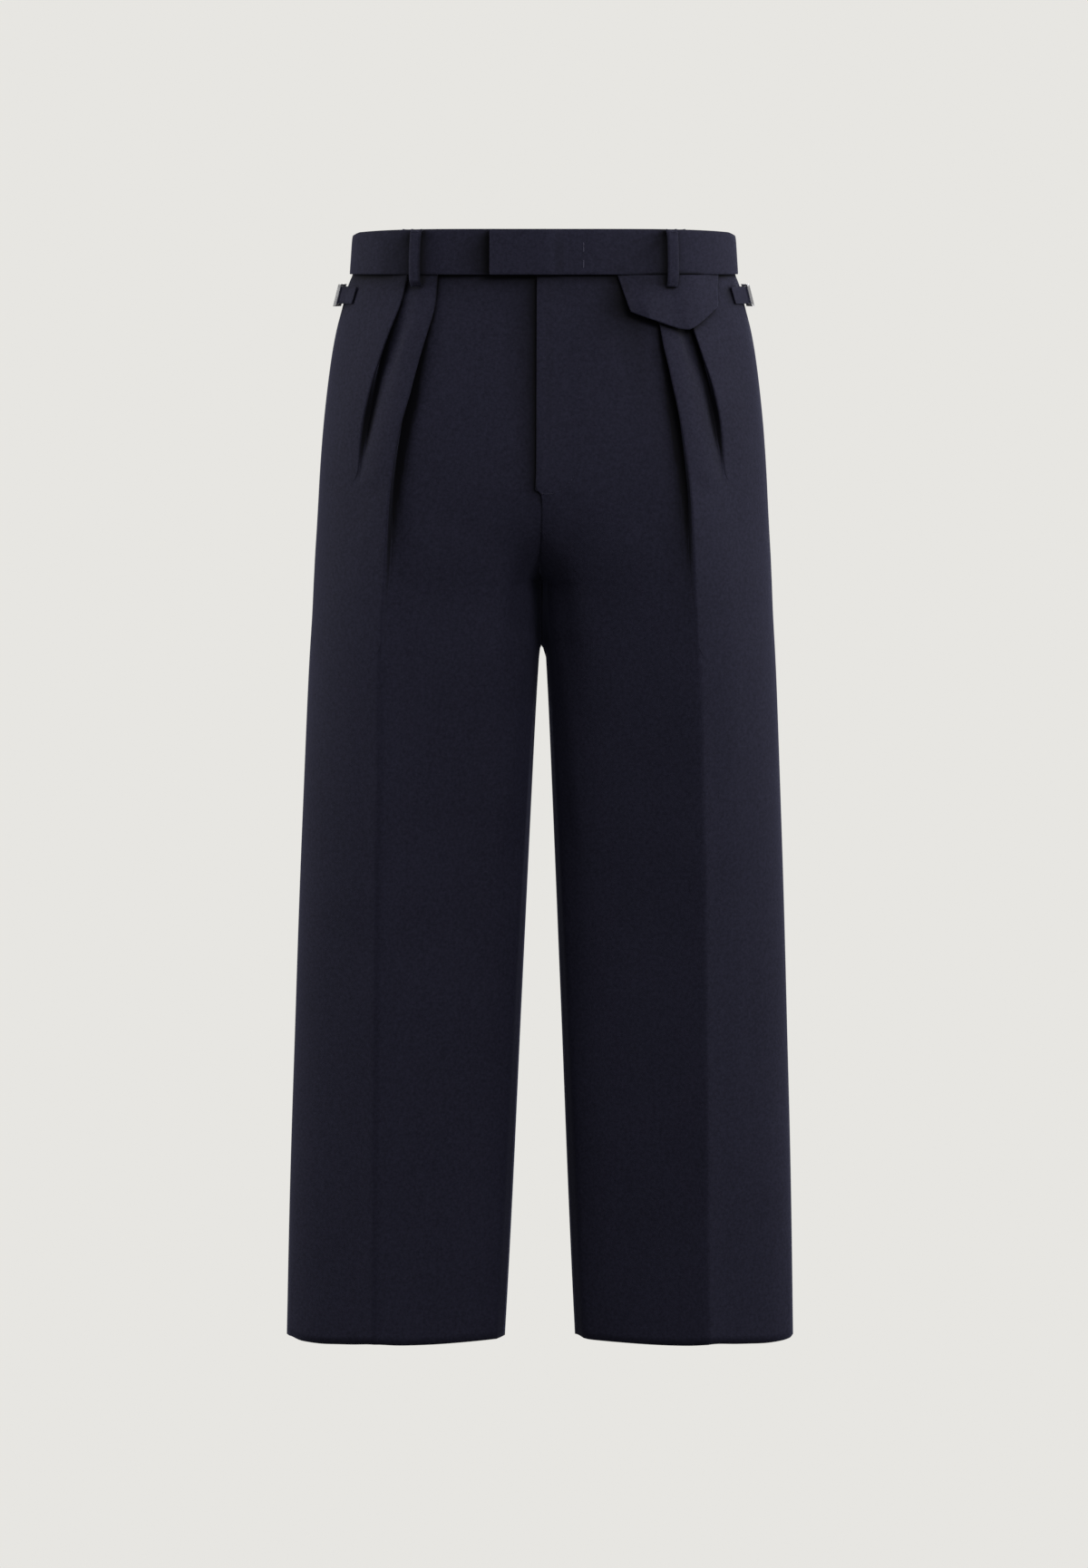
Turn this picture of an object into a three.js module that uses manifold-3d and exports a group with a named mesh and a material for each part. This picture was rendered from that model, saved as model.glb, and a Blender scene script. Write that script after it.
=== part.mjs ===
// Pleated trousers, standing open and filled out with no wearer, in millimetres.
// +Z is up, the front faces -Y and the wearer's left side is +X.
// The origin is the middle of the waistband ring, half way up the band.
import * as THREE from "three";
import Module from "manifold-3d";

// Cloth and seams
const WALL = 1.0;
const SEAM_GAP = 0.3;
const LAYER_GAP = 0.35;
const LAYER_PITCH = WALL + LAYER_GAP;
const FOLD_RADIUS = LAYER_PITCH / 2;

// Waistband
const BAND_TOP = 21.6;
const BAND_BOTTOM = -21.2;
const BAND_WALL = 2.4;
const BAND_STAND_OFF = 3.0;
const BAND_TAPER = 2.6;
const BAND_EDGE_ROLL = 0.8;
const BAND_ROLL_START = 0.97;
const BAND_SIDE_DIP = 4.0;
const BAND_DIP_POWER = 6;
const TAB_END_X = -51;
const TAB_LIFT = BAND_WALL + 1.0;
const TAB_RAMP_START_X = 24;
const TAB_RAMP_END_X = 3.5;
const UNDERLAP_END_X = 2;

// Heights of the trousers
const PANEL_TOP = BAND_BOTTOM - SEAM_GAP;
const FORK_Z = -312;
const FORK_Y = 6;
const HEM_Z = -1038;
const HEM_SWAY = -3.9;

// Fly
const FLY_EDGE_X = -6.6;
const FLY_BOTTOM = -222;
const FLY_CORNER = -225.5;
const FLY_BLEND_END = -236;
const FLY_RAMP = 13;
const FLY_FLAT = 2;
const FLY_LIFT_LOW = 1.55;
const FLY_LIFT_HIGH = 2.7;
const ZIP_WALL = 1.2;
const ZIP_HALF_WIDTH = 13;
const ZIP_TOP = -24;
const ZIP_BOTTOM = -214;
const ZIP_ROWS = [ZIP_TOP, -70, -120, -170, ZIP_BOTTOM];

// Belt loops
const LOOP_WIDTH = 10.5;
const LOOP_WALL = 2.0;
const LOOP_FRONT_X = 117.5;
const LOOP_BACK_X = 128;
const LOOP_SEAT_FRONT_LEFT = 6.4;
const LOOP_SEAT_FRONT_RIGHT = 3.5;
const LOOP_SEAT_BACK = 0.5;

// Side adjusters
const STRAP_TOP = -33;
const STRAP_BOTTOM = -49;
const FRAME_TOP = -30.6;
const FRAME_BOTTOM = -51.6;
const FRAME_BAR = 2.2;
const FRAME_HALF_SPAN = 9.5;

// Ticket pocket flap, on the wearer's left
const FLAP_WALL = 1.4;

const DEG = Math.PI / 180;

function table(columns, rows) {
  return rows.map((row) => Object.fromEntries(columns.map((name, i) => [name, row[i]])));
}

// Sizes of the form by height: half width at the side seam and at the inseam, the side seam's
// depth, then the crease line, its slopes to the outside and the inside, and the inner edge.
const FRONT_FORM = table(
  ["z", "side", "sideY", "creaseX", "creaseY", "outerSlope", "innerSlope", "edgeX", "edgeY", "edgeTurn"],
  [
    [-21.5, 181.0, 0, 102, -74.5, 17, -15, 0, -88, 0],
    [-31, 185.3, 0, 102.5, -76.5, 17, -14, 0, -89, 0],
    [-50, 190.0, 0, 105, -80.0, 17, -13, 0, -91, 0],
    [-70, 195.5, 0, 110, -83.0, 17, -12, 0, -93, 0],
    [-95, 200.4, -1, 117.5, -86.0, 18, -11, 0, -96, 0],
    [-126, 204.6, -1, 125, -90.0, 19, -9, 0, -99, 0],
    [-164, 208.7, -2, 132, -94.0, 20, -6, 0, -102, 0],
    [-205, 211.8, -2, 138, -97.0, 21, -3, 0, -103, 0],
    [-236, 213.4, -3, 142, -99.0, 22, 0, 0, -99, 5],
    [-268, 215.2, -3, 145, -100.5, 22, 4, 0, -85, 20],
    [-290, 216.6, -3, 147, -101.0, 23, 6, 0, -64, 40],
    [-303, 217.2, -3, 148, -101.2, 23, 7, 0, -41, 62],
    [-309, 217.5, -3, 148.5, -101.2, 23, 8, 0, -23, 76],
    [FORK_Z, 217.7, -3, 148.8, -101.2, 23, 8, 0, FORK_Y, 90],
    [-340, 218.8, -3, 150.5, -101.0, 24, 11, 0.6, FORK_Y, 90],
    [-374, 221.0, -2, 152.5, -99.5, 25, 15, 2.4, 5, 90],
    [-415, 223.2, 0, 154.2, -96.5, 26, 18, 5.0, 4, 90],
    [-502, 226.8, 2, 157.0, -89.0, 27, 22, 9.1, 3, 90],
    [-588, 230.3, 3, 159.4, -80.0, 28, 22, 13.0, 3, 90],
    [-675, 233.3, 4, 160.4, -72.5, 28, 22, 16.8, 4, 90],
    [-761, 235.9, 5, 161.2, -67.0, 28, 22, 20.7, 5, 90],
    [-848, 238.9, 6, 161.8, -63.0, 28, 22, 24.2, 6, 90],
    [-934, 241.0, 7, 162.2, -60.0, 28, 22, 28.1, 7, 90],
    [HEM_Z, 243.0, 8, 162.4, -57.5, 28, 22, 33.4, 8, 90],
  ],
);

const BACK_FORM = table(
  ["z", "creaseX", "creaseY", "outerSlope", "innerSlope", "edgeY", "edgeTurn"],
  [
    [-21.5, 95, 75.5, 16, -14, 87, 0],
    [-70, 97, 90.0, 16, -12, 100, 0],
    [-126, 98, 103.0, 17, -8, 112, 0],
    [-180, 96, 111.5, 18, -4, 118, 0],
    [-225, 92, 115.0, 18, 0, 117, 3],
    [-258, 88, 115.5, 18, 5, 109, 14],
    [-280, 86, 115.0, 19, 9, 95, 28],
    [-297, 84, 114.0, 19, 12, 72, 48],
    [-306, 83, 113.2, 20, 14, 48, 68],
    [FORK_Z, 82.5, 112.6, 20, 15, FORK_Y, 90],
    [-340, 81, 109.5, 20, 16, FORK_Y, 90],
    [-374, 81, 105.5, 20, 17, 5, 90],
    [-415, 82, 101.0, 21, 18, 4, 90],
    [-502, 86, 92.5, 22, 20, 3, 90],
    [-588, 90, 85.0, 22, 21, 3, 90],
    [-675, 95, 79.5, 22, 22, 4, 90],
    [-761, 100, 75.5, 22, 22, 5, 90],
    [-848, 105, 72.5, 22, 23, 6, 90],
    [-934, 109, 70.0, 22, 23, 7, 90],
    [HEM_Z, 114, 68.0, 22, 24, 8, 90],
  ],
);

// How full the cloth stays on its way from the crease to the centre seam or inseam.
const FULLNESS = table(
  ["z", "atCrease", "atFrontEdge", "atBackEdge"],
  [
    [-21.5, 0.5, 0.56, 0.56],
    [-290, 0.5, 0.54, 0.54],
    [-303, 0.52, 0.56, 0.56],
    [-309, 0.58, 0.66, 0.62],
    [FORK_Z, 0.66, 0.9, 0.74],
    [-374, 0.64, 0.88, 0.74],
    [-460, 0.58, 0.8, 0.72],
    [-675, 0.53, 0.68, 0.64],
    [HEM_Z, 0.5, 0.56, 0.56],
  ],
);

// Forward pleats: where the fold edge runs, how far the cloth goes back under it, how far it
// turns, the radius of the fold, and how deep its valley lies below the form.
const PLEAT_COLUMNS = ["z", "foldX", "under", "turn", "radius", "sink"];
const OUTER_PLEAT = table(PLEAT_COLUMNS, [
  [-21.5, 130, 13, 179, FOLD_RADIUS, -1.2],
  [-38, 134, 13, 179, FOLD_RADIUS, -1.2],
  [-50, 137.5, 12, 176, FOLD_RADIUS, -0.8],
  [-70, 145, 9, 158, 0.85, 0.8],
  [-95, 154, 6.8, 130, 1.1, 3.2],
  [-114, 160, 5.8, 112, 1.3, 4.2],
  [-150, 168.5, 4.4, 84, 2.0, 4.2],
  [-180, 173, 2.6, 44, 3.6, 2.2],
  [-205, 175, 1.4, 9, 6, 0.2],
]);
const INNER_PLEAT = table(PLEAT_COLUMNS, [
  [-21.5, 102, 17, 179, FOLD_RADIUS, 0],
  [-38, 103, 17, 179, FOLD_RADIUS, 0],
  [-50, 104.5, 16, 178, FOLD_RADIUS, 0.2],
  [-70, 110, 13, 168, 0.8, 1.6],
  [-95, 117.5, 10, 146, 1.0, 3.8],
  [-114, 122.5, 8.6, 130, 1.1, 5.0],
  [-150, 131, 7.6, 114, 1.3, 6.0],
  [-186, 137.5, 7.0, 103, 1.4, 6.2],
  [-225, 142.5, 6.2, 90, 1.7, 5.4],
  [-268, 146, 5.0, 70, 2.2, 3.8],
  [-310, 148.8, 3.4, 43, 3.0, 1.8],
  [-340, 150.5, 2.2, 22, 4.0, 0.6],
  [-374, 152.5, 1.4, 6, 5.0, 0.1],
]);

// Rows of the front: both pleats, then the inner pleat alone, then the plain leg.
const BOTH_PLEAT_ROWS = [PANEL_TOP, -31, -41, -51, -60, -70, -82, -95, -110, -127, -146, -166, -188, -212];
const INNER_PLEAT_ROWS = [FLY_BOTTOM, FLY_CORNER, FLY_BLEND_END, -252, -268, -281, -292, -300, -307, FORK_Z,
  -324, -340, -356, -374];
const PLAIN_ROWS = [-392, -420, -460, -508, -560, -615, -675, -740, -810, -880, -950, -1005, HEM_Z];
const BACK_ROWS = [PANEL_TOP, -38, -58, -82, -110, -142, -180, -215, -240, -260, -276, -288, -297, -304, -309,
  FORK_Z, -324, -345, -374, -415, -465, -520, -588, -660, -740, -820, -900, -975, HEM_Z];

const CURVE_STEPS = 30;
const ARC_STEPS = 3;
const SIDE_STEPS = 6;
const PLAIN_SIDE_STEPS = 7;
const INNER_STATIONS = [0.045, 0.09, 0.16, 0.33, 0.54, 0.75, 0.88, 0.95, 1];
const PLAIN_INNER_STATIONS = [0.13, 0.27, 0.42, 0.57, 0.72, 0.86, 1];
const BETWEEN_STATIONS = [0.2, 0.36, 0.57, 0.78];
const BETWEEN_FOLDED = [0, 0, 1, 1];
const BETWEEN_OPEN = [0.44, 0.72, 0.9, 1];
const APPROACH = 45;
const SIDE_FULLNESS = 0.58;
const OUTER_FULLNESS = 0.4;
const ALMOST_SQUARE = 89;

// Places across a row, from 0 at the side seam to 1 at the centre seam or inseam.
const CREASE_PLACE = 0.5;
const PLEAT_PLACE_STEP = 0.01;
const LAST_PLEAT_PLACE = 0.04;
const INNER_PLACE = 0.6;

function clamp01(value) {
  return Math.min(1, Math.max(0, value));
}

function ease(value) {
  const t = clamp01(value);
  return t * t * (3 - 2 * t);
}

// A smooth value of one column at height z, which never overshoots its rows.
function sizeAt(rows, name, z) {
  const top = rows[0];
  const end = rows[rows.length - 1];
  if (z >= top.z) return top[name];
  if (z <= end.z) return end[name];
  let i = 0;
  while (rows[i + 1].z > z) i += 1;
  const step = (k) => (rows[k + 1][name] - rows[k][name]) / (rows[k + 1].z - rows[k].z);
  const slope = (k) => {
    if (k === 0) return step(0);
    if (k === rows.length - 1) return step(k - 1);
    const before = step(k - 1);
    const after = step(k);
    return before * after <= 0 ? 0 : (2 * before * after) / (before + after);
  };
  const span = rows[i + 1].z - rows[i].z;
  const t = (z - rows[i].z) / span;
  const t2 = t * t;
  const t3 = t2 * t;
  return (
    (2 * t3 - 3 * t2 + 1) * rows[i][name] +
    (t3 - 2 * t2 + t) * span * slope(i) +
    (3 * t2 - 2 * t3) * rows[i + 1][name] +
    (t3 - t2) * span * slope(i + 1)
  );
}

function bezier(a, b, c, d, t) {
  const s = 1 - t;
  const k = [s * s * s, 3 * s * s * t, 3 * s * t * t, t * t * t];
  return [0, 1].map((i) => k[0] * a[i] + k[1] * b[i] + k[2] * c[i] + k[3] * d[i]);
}

// One horizontal section of the cloth's middle, on the +X half, from the side seam over the
// crease line to the centre seam or inseam. Its points are asked for by length along it.
function section(z, isFront) {
  const front = (name) => sizeAt(FRONT_FORM, name, z);
  const own = (name) => sizeAt(isFront ? FRONT_FORM : BACK_FORM, name, z);
  const facing = isFront ? -1 : 1;
  const turn = own("edgeTurn") * DEG;
  const side = [front("side") - WALL / 2, front("sideY") + (facing * SEAM_GAP) / 2];
  const crease = [own("creaseX"), own("creaseY") - (facing * WALL) / 2];
  const edgeGap = z > FORK_Z ? 0 : SEAM_GAP / 2;
  const edge = [
    front("edgeX") + SEAM_GAP / 2 + (WALL / 2) * Math.sin(turn),
    own("edgeY") + facing * (edgeGap - (WALL / 2) * Math.cos(turn)),
  ];
  const outward = [Math.cos(own("outerSlope") * DEG), Math.sin(own("outerSlope") * DEG)];
  const inward = [Math.cos(own("innerSlope") * DEG), Math.sin(own("innerSlope") * DEG)];
  const reach = [side[0] - crease[0], Math.abs(crease[1] - side[1])];
  const span = [crease[0] - edge[0], Math.abs(crease[1] - edge[1])];
  const outerHandle = OUTER_FULLNESS * Math.hypot(...reach);
  const innerHandle = sizeAt(FULLNESS, "atCrease", z) * span[0];
  const fullness = sizeAt(FULLNESS, isFront ? "atFrontEdge" : "atBackEdge", z);
  const edgeHandle = fullness * (Math.cos(turn) * span[0] + Math.sin(turn) * span[1]);
  const points = [];
  for (let i = 0; i <= CURVE_STEPS; i += 1) {
    points.push(
      bezier(
        side,
        [side[0], side[1] + facing * SIDE_FULLNESS * reach[1]],
        [crease[0] + outerHandle * outward[0], crease[1] - facing * outerHandle * outward[1]],
        crease,
        i / CURVE_STEPS,
      ),
    );
  }
  const creaseIndex = points.length - 1;
  for (let i = 1; i <= CURVE_STEPS; i += 1) {
    points.push(
      bezier(
        crease,
        [crease[0] - innerHandle * inward[0], crease[1] - facing * innerHandle * inward[1]],
        [edge[0] + edgeHandle * Math.cos(turn), edge[1] + facing * edgeHandle * Math.sin(turn)],
        edge,
        i / CURVE_STEPS,
      ),
    );
  }
  const lengths = [0];
  for (let i = 1; i < points.length; i += 1) {
    const d = Math.hypot(points[i][0] - points[i - 1][0], points[i][1] - points[i - 1][1]);
    lengths.push(lengths[i - 1] + d);
  }
  const total = lengths[lengths.length - 1];
  const headingAt = (i) => {
    const a = points[Math.max(0, i - 1)];
    const b = points[Math.min(points.length - 1, i + 1)];
    const d = Math.hypot(b[0] - a[0], b[1] - a[1]);
    return [(b[0] - a[0]) / d, (b[1] - a[1]) / d];
  };
  const at = (length, lift = 0) => {
    let i = 0;
    while (i < points.length - 2 && lengths[i + 1] < length) i += 1;
    const t = (length - lengths[i]) / (lengths[i + 1] - lengths[i]);
    const k = clamp01(t);
    const ha = headingAt(i);
    const hb = headingAt(i + 1);
    let hx = ha[0] + (hb[0] - ha[0]) * k;
    let hy = ha[1] + (hb[1] - ha[1]) * k;
    const h = Math.hypot(hx, hy);
    hx /= h;
    hy /= h;
    const x = points[i][0] + (points[i + 1][0] - points[i][0]) * t;
    const y = points[i][1] + (points[i + 1][1] - points[i][1]) * t;
    return { x: x + facing * hy * lift, y: y - facing * hx * lift, heading: [hx, hy] };
  };
  const lengthAtX = (x) => {
    let i = 0;
    while (i < points.length - 2 && points[i + 1][0] > x) i += 1;
    const t = (x - points[i][0]) / (points[i + 1][0] - points[i][0]);
    return lengths[i] + t * (lengths[i + 1] - lengths[i]);
  };
  return { at, total, creaseLength: lengths[creaseIndex], lengthAtX, turn, facing, edge };
}

// The path of one pleat past its fold edge, as lengths along the section and lifts above it.
function pleatPath(pleat, z) {
  const turn = sizeAt(pleat, "turn", z) * DEG;
  const radius = sizeAt(pleat, "radius", z);
  const under = sizeAt(pleat, "under", z);
  const drop = under * Math.sin(turn) + 2 * radius * (1 - Math.cos(turn));
  const sink = sizeAt(pleat, "sink", z);
  const ridge = drop - sink;
  const path = [];
  const start = -radius * Math.sin(Math.min(turn, Math.PI / 2));
  for (let i = 0; i <= ARC_STEPS; i += 1) {
    const a = (turn * i) / ARC_STEPS;
    path.push([start + radius * Math.sin(a), ridge - radius * (1 - Math.cos(a))]);
  }
  const last = path[path.length - 1];
  const valley = [last[0] + under * Math.cos(turn), last[1] - under * Math.sin(turn)];
  for (let i = 0; i <= ARC_STEPS; i += 1) {
    const a = turn * (1 - i / ARC_STEPS);
    path.push([
      valley[0] + radius * (Math.sin(turn) - Math.sin(a)),
      valley[1] - radius * (Math.cos(a) - Math.cos(turn)),
    ]);
  }
  return { path, ridge, floor: -sink, turn };
}

// A row of the front: its points carry a place across the row, for joining rows of unlike counts.
function frontStations(z, overlaps) {
  const form = section(z, true);
  const hasOuter = z >= BOTH_PLEAT_ROWS[BOTH_PLEAT_ROWS.length - 1];
  const hasInner = z >= INNER_PLEAT_ROWS[INNER_PLEAT_ROWS.length - 1];
  const stations = [];
  const add = (place, length, lift) => stations.push({ place, length, lift });
  const innerFold = hasInner ? form.lengthAtX(sizeAt(INNER_PLEAT, "foldX", z)) : form.creaseLength;
  const inner = hasInner ? pleatPath(INNER_PLEAT, z) : null;
  const innerStart = hasInner ? innerFold + inner.path[0][0] : innerFold;
  const outerFold = hasOuter ? form.lengthAtX(sizeAt(OUTER_PLEAT, "foldX", z)) : 0;
  const outer = hasOuter ? pleatPath(OUTER_PLEAT, z) : null;
  const sideEnd = hasOuter ? outerFold + outer.path[0][0] : innerStart;
  const sideLift = hasOuter ? outer.ridge : hasInner ? inner.ridge : 0;
  const sideSteps = hasOuter ? SIDE_STEPS : PLAIN_SIDE_STEPS;
  for (let i = 0; i < sideSteps; i += 1) {
    const length = (sideEnd * i) / sideSteps;
    const rise = ease(1 - (sideEnd - length) / APPROACH);
    add((CREASE_PLACE * length) / innerStart, length, sideLift * rise * rise);
  }
  if (hasOuter) {
    outer.path.forEach(([along, lift]) =>
      add((CREASE_PLACE * (outerFold + along)) / innerStart, outerFold + along, lift),
    );
    const from = outerFold + outer.path[outer.path.length - 1][0];
    const open = clamp01((Math.PI - outer.turn) / (Math.PI / 2));
    BETWEEN_STATIONS.forEach((f, i) => {
      const share = BETWEEN_FOLDED[i] * (1 - open) + BETWEEN_OPEN[i] * open;
      const length = from + f * (innerStart - from);
      add((CREASE_PLACE * length) / innerStart, length, outer.floor + share * (inner.ridge - outer.floor));
    });
  }
  if (hasInner) {
    inner.path.forEach(([along, lift], i) => {
      add(CREASE_PLACE + i * PLEAT_PLACE_STEP, innerFold + along, lift);
    });
  } else {
    add(CREASE_PLACE + LAST_PLEAT_PLACE, innerFold, 0);
  }
  const from = hasInner ? innerFold + inner.path[inner.path.length - 1][0] : innerFold;
  const floor = hasInner ? inner.floor : 0;
  const overlapped = overlaps && z >= FLY_BOTTOM;
  const end = overlapped ? form.total + SEAM_GAP / 2 - FLY_EDGE_X : form.total;
  const upFly = ease((z - FLY_BOTTOM) / (PANEL_TOP - FLY_BOTTOM));
  const flyLift = FLY_LIFT_LOW + (FLY_LIFT_HIGH - FLY_LIFT_LOW) * upFly;
  const lifted = overlaps ? flyLift * ease((z - FLY_BLEND_END) / (FLY_CORNER - FLY_BLEND_END)) : 0;
  (hasInner ? INNER_STATIONS : PLAIN_INNER_STATIONS).forEach((f) => {
    const length = from + f * (end - from);
    const recovered = ease(f / INNER_STATIONS[2]);
    const nearEdge = ease((length - (form.total - FLY_RAMP)) / (FLY_RAMP - FLY_FLAT));
    const place = INNER_PLACE + (1 - INNER_PLACE) * f;
    add(place, length, floor * (1 - recovered) + lifted * nearEdge);
  });
  return { form, stations, overlapped };
}

function frontRow(z, overlaps) {
  const { form, stations, overlapped } = frontStations(z, overlaps);
  const points = stations.map(({ place, length, lift }) => {
    const p = form.at(length, lift);
    return { place, x: p.x, y: p.y, z };
  });
  return { points, z, turn: form.turn, inPlane: !overlapped };
}

// The most that the front stands off its form within a reach either side of a length along it.
function coverLift(z, length, reach) {
  const { stations } = frontStations(z, true);
  let most = 0;
  stations.forEach((station) => {
    if (Math.abs(station.length - length) < reach) most = Math.max(most, station.lift);
  });
  return most;
}

function backRow(z) {
  const form = section(z, false);
  const stations = [0, 0.12, 0.28, 0.46, 0.64, 0.82, 1];
  const points = [];
  stations.forEach((f) => {
    const p = form.at(f * form.creaseLength);
    points.push({ place: 0.5 * f, x: p.x, y: p.y, z });
  });
  stations.slice(1).forEach((f) => {
    const p = form.at(form.creaseLength + f * (form.total - form.creaseLength));
    points.push({ place: 0.5 + 0.5 * f, x: p.x, y: p.y, z });
  });
  return { points, z, turn: form.turn, inPlane: true };
}

function meshOf(vertices, faces) {
  const geometry = new THREE.BufferGeometry();
  geometry.setAttribute("position", new THREE.Float32BufferAttribute(vertices.flat(), 3));
  geometry.setIndex(faces.flat());
  return geometry;
}

// Leans a point sideways with height, as the legs hang, and mirrors it for the other side.
function placed(x, y, z, mirror) {
  const sway = (HEM_SWAY * Math.max(0, -z)) / -HEM_Z;
  return [mirror * x + sway, y, z];
}

// A closed cloth wall about a middle surface given as rows from top to bottom.
function clothWall(rows, wall, mirror, facing, edgeRules = true) {
  const starts = [];
  const middle = [];
  rows.forEach((row) => {
    starts.push(middle.length);
    row.points.forEach((p) => middle.push([p.x, p.y, p.z]));
  });
  const strip = [];
  for (let r = 0; r + 1 < rows.length; r += 1) {
    const a = rows[r].points;
    const b = rows[r + 1].points;
    let i = 0;
    let j = 0;
    while (i < a.length - 1 || j < b.length - 1) {
      const nextA = i < a.length - 1 ? a[i + 1].place : Infinity;
      const nextB = j < b.length - 1 ? b[j + 1].place : Infinity;
      const both = a.length === b.length && i === j;
      if (both) {
        strip.push([starts[r] + i, starts[r + 1] + j, starts[r] + i + 1]);
        strip.push([starts[r] + i + 1, starts[r + 1] + j, starts[r + 1] + j + 1]);
        i += 1;
        j += 1;
      } else if (nextA <= nextB) {
        strip.push([starts[r] + i, starts[r + 1] + j, starts[r] + i + 1]);
        i += 1;
      } else {
        strip.push([starts[r] + i, starts[r + 1] + j, starts[r + 1] + j + 1]);
        j += 1;
      }
    }
  }
  const normals = middle.map(() => new THREE.Vector3());
  strip.forEach((face) => {
    const [a, b, c] = face.map((v) => new THREE.Vector3(...middle[v]));
    const cross = b.clone().sub(a).cross(c.clone().sub(a));
    if (cross.lengthSq() < 1e-12) return;
    cross.normalize();
    const corner = [a, b, c];
    face.forEach((v, k) => {
      const u = corner[(k + 1) % 3].clone().sub(corner[k]);
      const w = corner[(k + 2) % 3].clone().sub(corner[k]);
      normals[v].addScaledVector(cross, u.angleTo(w));
    });
  });
  normals.forEach((n) => n.normalize().multiplyScalar(facing));
  rows.forEach((row, r) => {
    const first = normals[starts[r]];
    const last = normals[starts[r] + row.points.length - 1];
    if (edgeRules) {
      first.y = 0;
      first.normalize();
      if (row.inPlane) {
        const rest = Math.hypot(last.y, last.z);
        const kept = Math.cos(row.turn) / rest;
        last.set(-Math.sin(row.turn), last.y * kept, last.z * kept);
        if (row.turn > ALMOST_SQUARE * DEG) last.set(-1, 0, 0);
      }
    }
    if (r === 0 || r === rows.length - 1) {
      row.points.forEach((p, i) => {
        const n = normals[starts[r] + i];
        n.z = 0;
        n.normalize();
      });
    }
  });
  const vertices = [];
  [0.5, -0.5].forEach((share) => {
    middle.forEach((m, i) => {
      const n = normals[i];
      vertices.push(
        placed(m[0] + n.x * wall * share, m[1] + n.y * wall * share, m[2] + n.z * wall * share, mirror),
      );
    });
  });
  const count = middle.length;
  const faces = [];
  strip.forEach(([a, b, c]) => {
    faces.push([a, b, c]);
    faces.push([a + count, c + count, b + count]);
  });
  const rim = (a, b) => {
    faces.push([a, b, a + count]);
    faces.push([b, b + count, a + count]);
  };
  const lastRow = rows.length - 1;
  for (let i = 0; i + 1 < rows[0].points.length; i += 1) rim(starts[0] + i, starts[0] + i + 1);
  for (let i = 0; i + 1 < rows[lastRow].points.length; i += 1) {
    rim(starts[lastRow] + i + 1, starts[lastRow] + i);
  }
  for (let r = 0; r < lastRow; r += 1) {
    rim(starts[r + 1], starts[r]);
    rim(
      starts[r] + rows[r].points.length - 1,
      starts[r + 1] + rows[r + 1].points.length - 1,
    );
  }
  return meshOf(vertices, faces);
}

// A closed bar through rings of points, with flat ends.
function barThrough(rings, mirror = 1) {
  const n = rings[0].length;
  const vertices = rings.flat().map(([x, y, z]) => placed(x, y, z, mirror));
  const faces = [];
  for (let r = 0; r + 1 < rings.length; r += 1) {
    for (let i = 0; i < n; i += 1) {
      const j = (i + 1) % n;
      const a = r * n + i;
      const b = r * n + j;
      faces.push([a, b, a + n]);
      faces.push([b, b + n, a + n]);
    }
  }
  const end = (rings.length - 1) * n;
  for (let i = 1; i + 1 < n; i += 1) {
    faces.push([0, i + 1, i]);
    faces.push([end, end + i, end + i + 1]);
  }
  return meshOf(vertices, faces);
}

// Turns a geometry's faces outward when its volume comes out negative.
function facedOut(geometry) {
  const p = geometry.attributes.position;
  const index = geometry.index.array;
  let volume = 0;
  const v = (i) => new THREE.Vector3().fromBufferAttribute(p, i);
  for (let i = 0; i < index.length; i += 3) {
    volume += v(index[i]).dot(v(index[i + 1]).cross(v(index[i + 2])));
  }
  if (volume < 0) {
    const turned = Array.from(index);
    for (let i = 0; i < turned.length; i += 3) {
      [turned[i + 1], turned[i + 2]] = [turned[i + 2], turned[i + 1]];
    }
    geometry.setIndex(turned);
  }
  return geometry;
}

const group = new THREE.Group();
group.name = "pleated_trousers";
const WORSTED = { color: 0x16151d, roughness: 0.85, metalness: 0 };
const DARK_TAPE = { color: 0x14141a, roughness: 0.8, metalness: 0 };
const BUCKLE_METAL = { color: 0xb9bcc2, roughness: 0.25, metalness: 1 };

function addPart(name, geometry, look) {
  const mesh = new THREE.Mesh(facedOut(geometry), new THREE.MeshStandardMaterial(look));
  mesh.name = name;
  group.add(mesh);
}

// A point of the form at a length round from the side seam, where forward is positive, and a lift.
function formPoint(z, fromSide, lift) {
  const p = section(z, fromSide >= 0).at(Math.abs(fromSide), lift);
  return [p.x, p.y, z];
}

// Rings along a path of lengths and lifts, square to the path, for cloth that folds round a bar.
function foldedStrap(path, thickness, top, bottom) {
  return path.map(([along, lift], i) => {
    const a = path[Math.max(0, i - 1)];
    const b = path[Math.min(path.length - 1, i + 1)];
    const d = Math.hypot(b[0] - a[0], b[1] - a[1]);
    const n = [(-(b[1] - a[1]) / d) * (thickness / 2), ((b[0] - a[0]) / d) * (thickness / 2)];
    return [
      formPoint(top, along - n[0], lift - n[1]),
      formPoint(top, along + n[0], lift + n[1]),
      formPoint(bottom, along + n[0], lift + n[1]),
      formPoint(bottom, along - n[0], lift - n[1]),
    ];
  });
}

// The waistband's own path at the waist seam, as lifts off the form row by row up the band.
const bandBack = section(PANEL_TOP, false);
const bandFront = section(PANEL_TOP, true);

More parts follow.
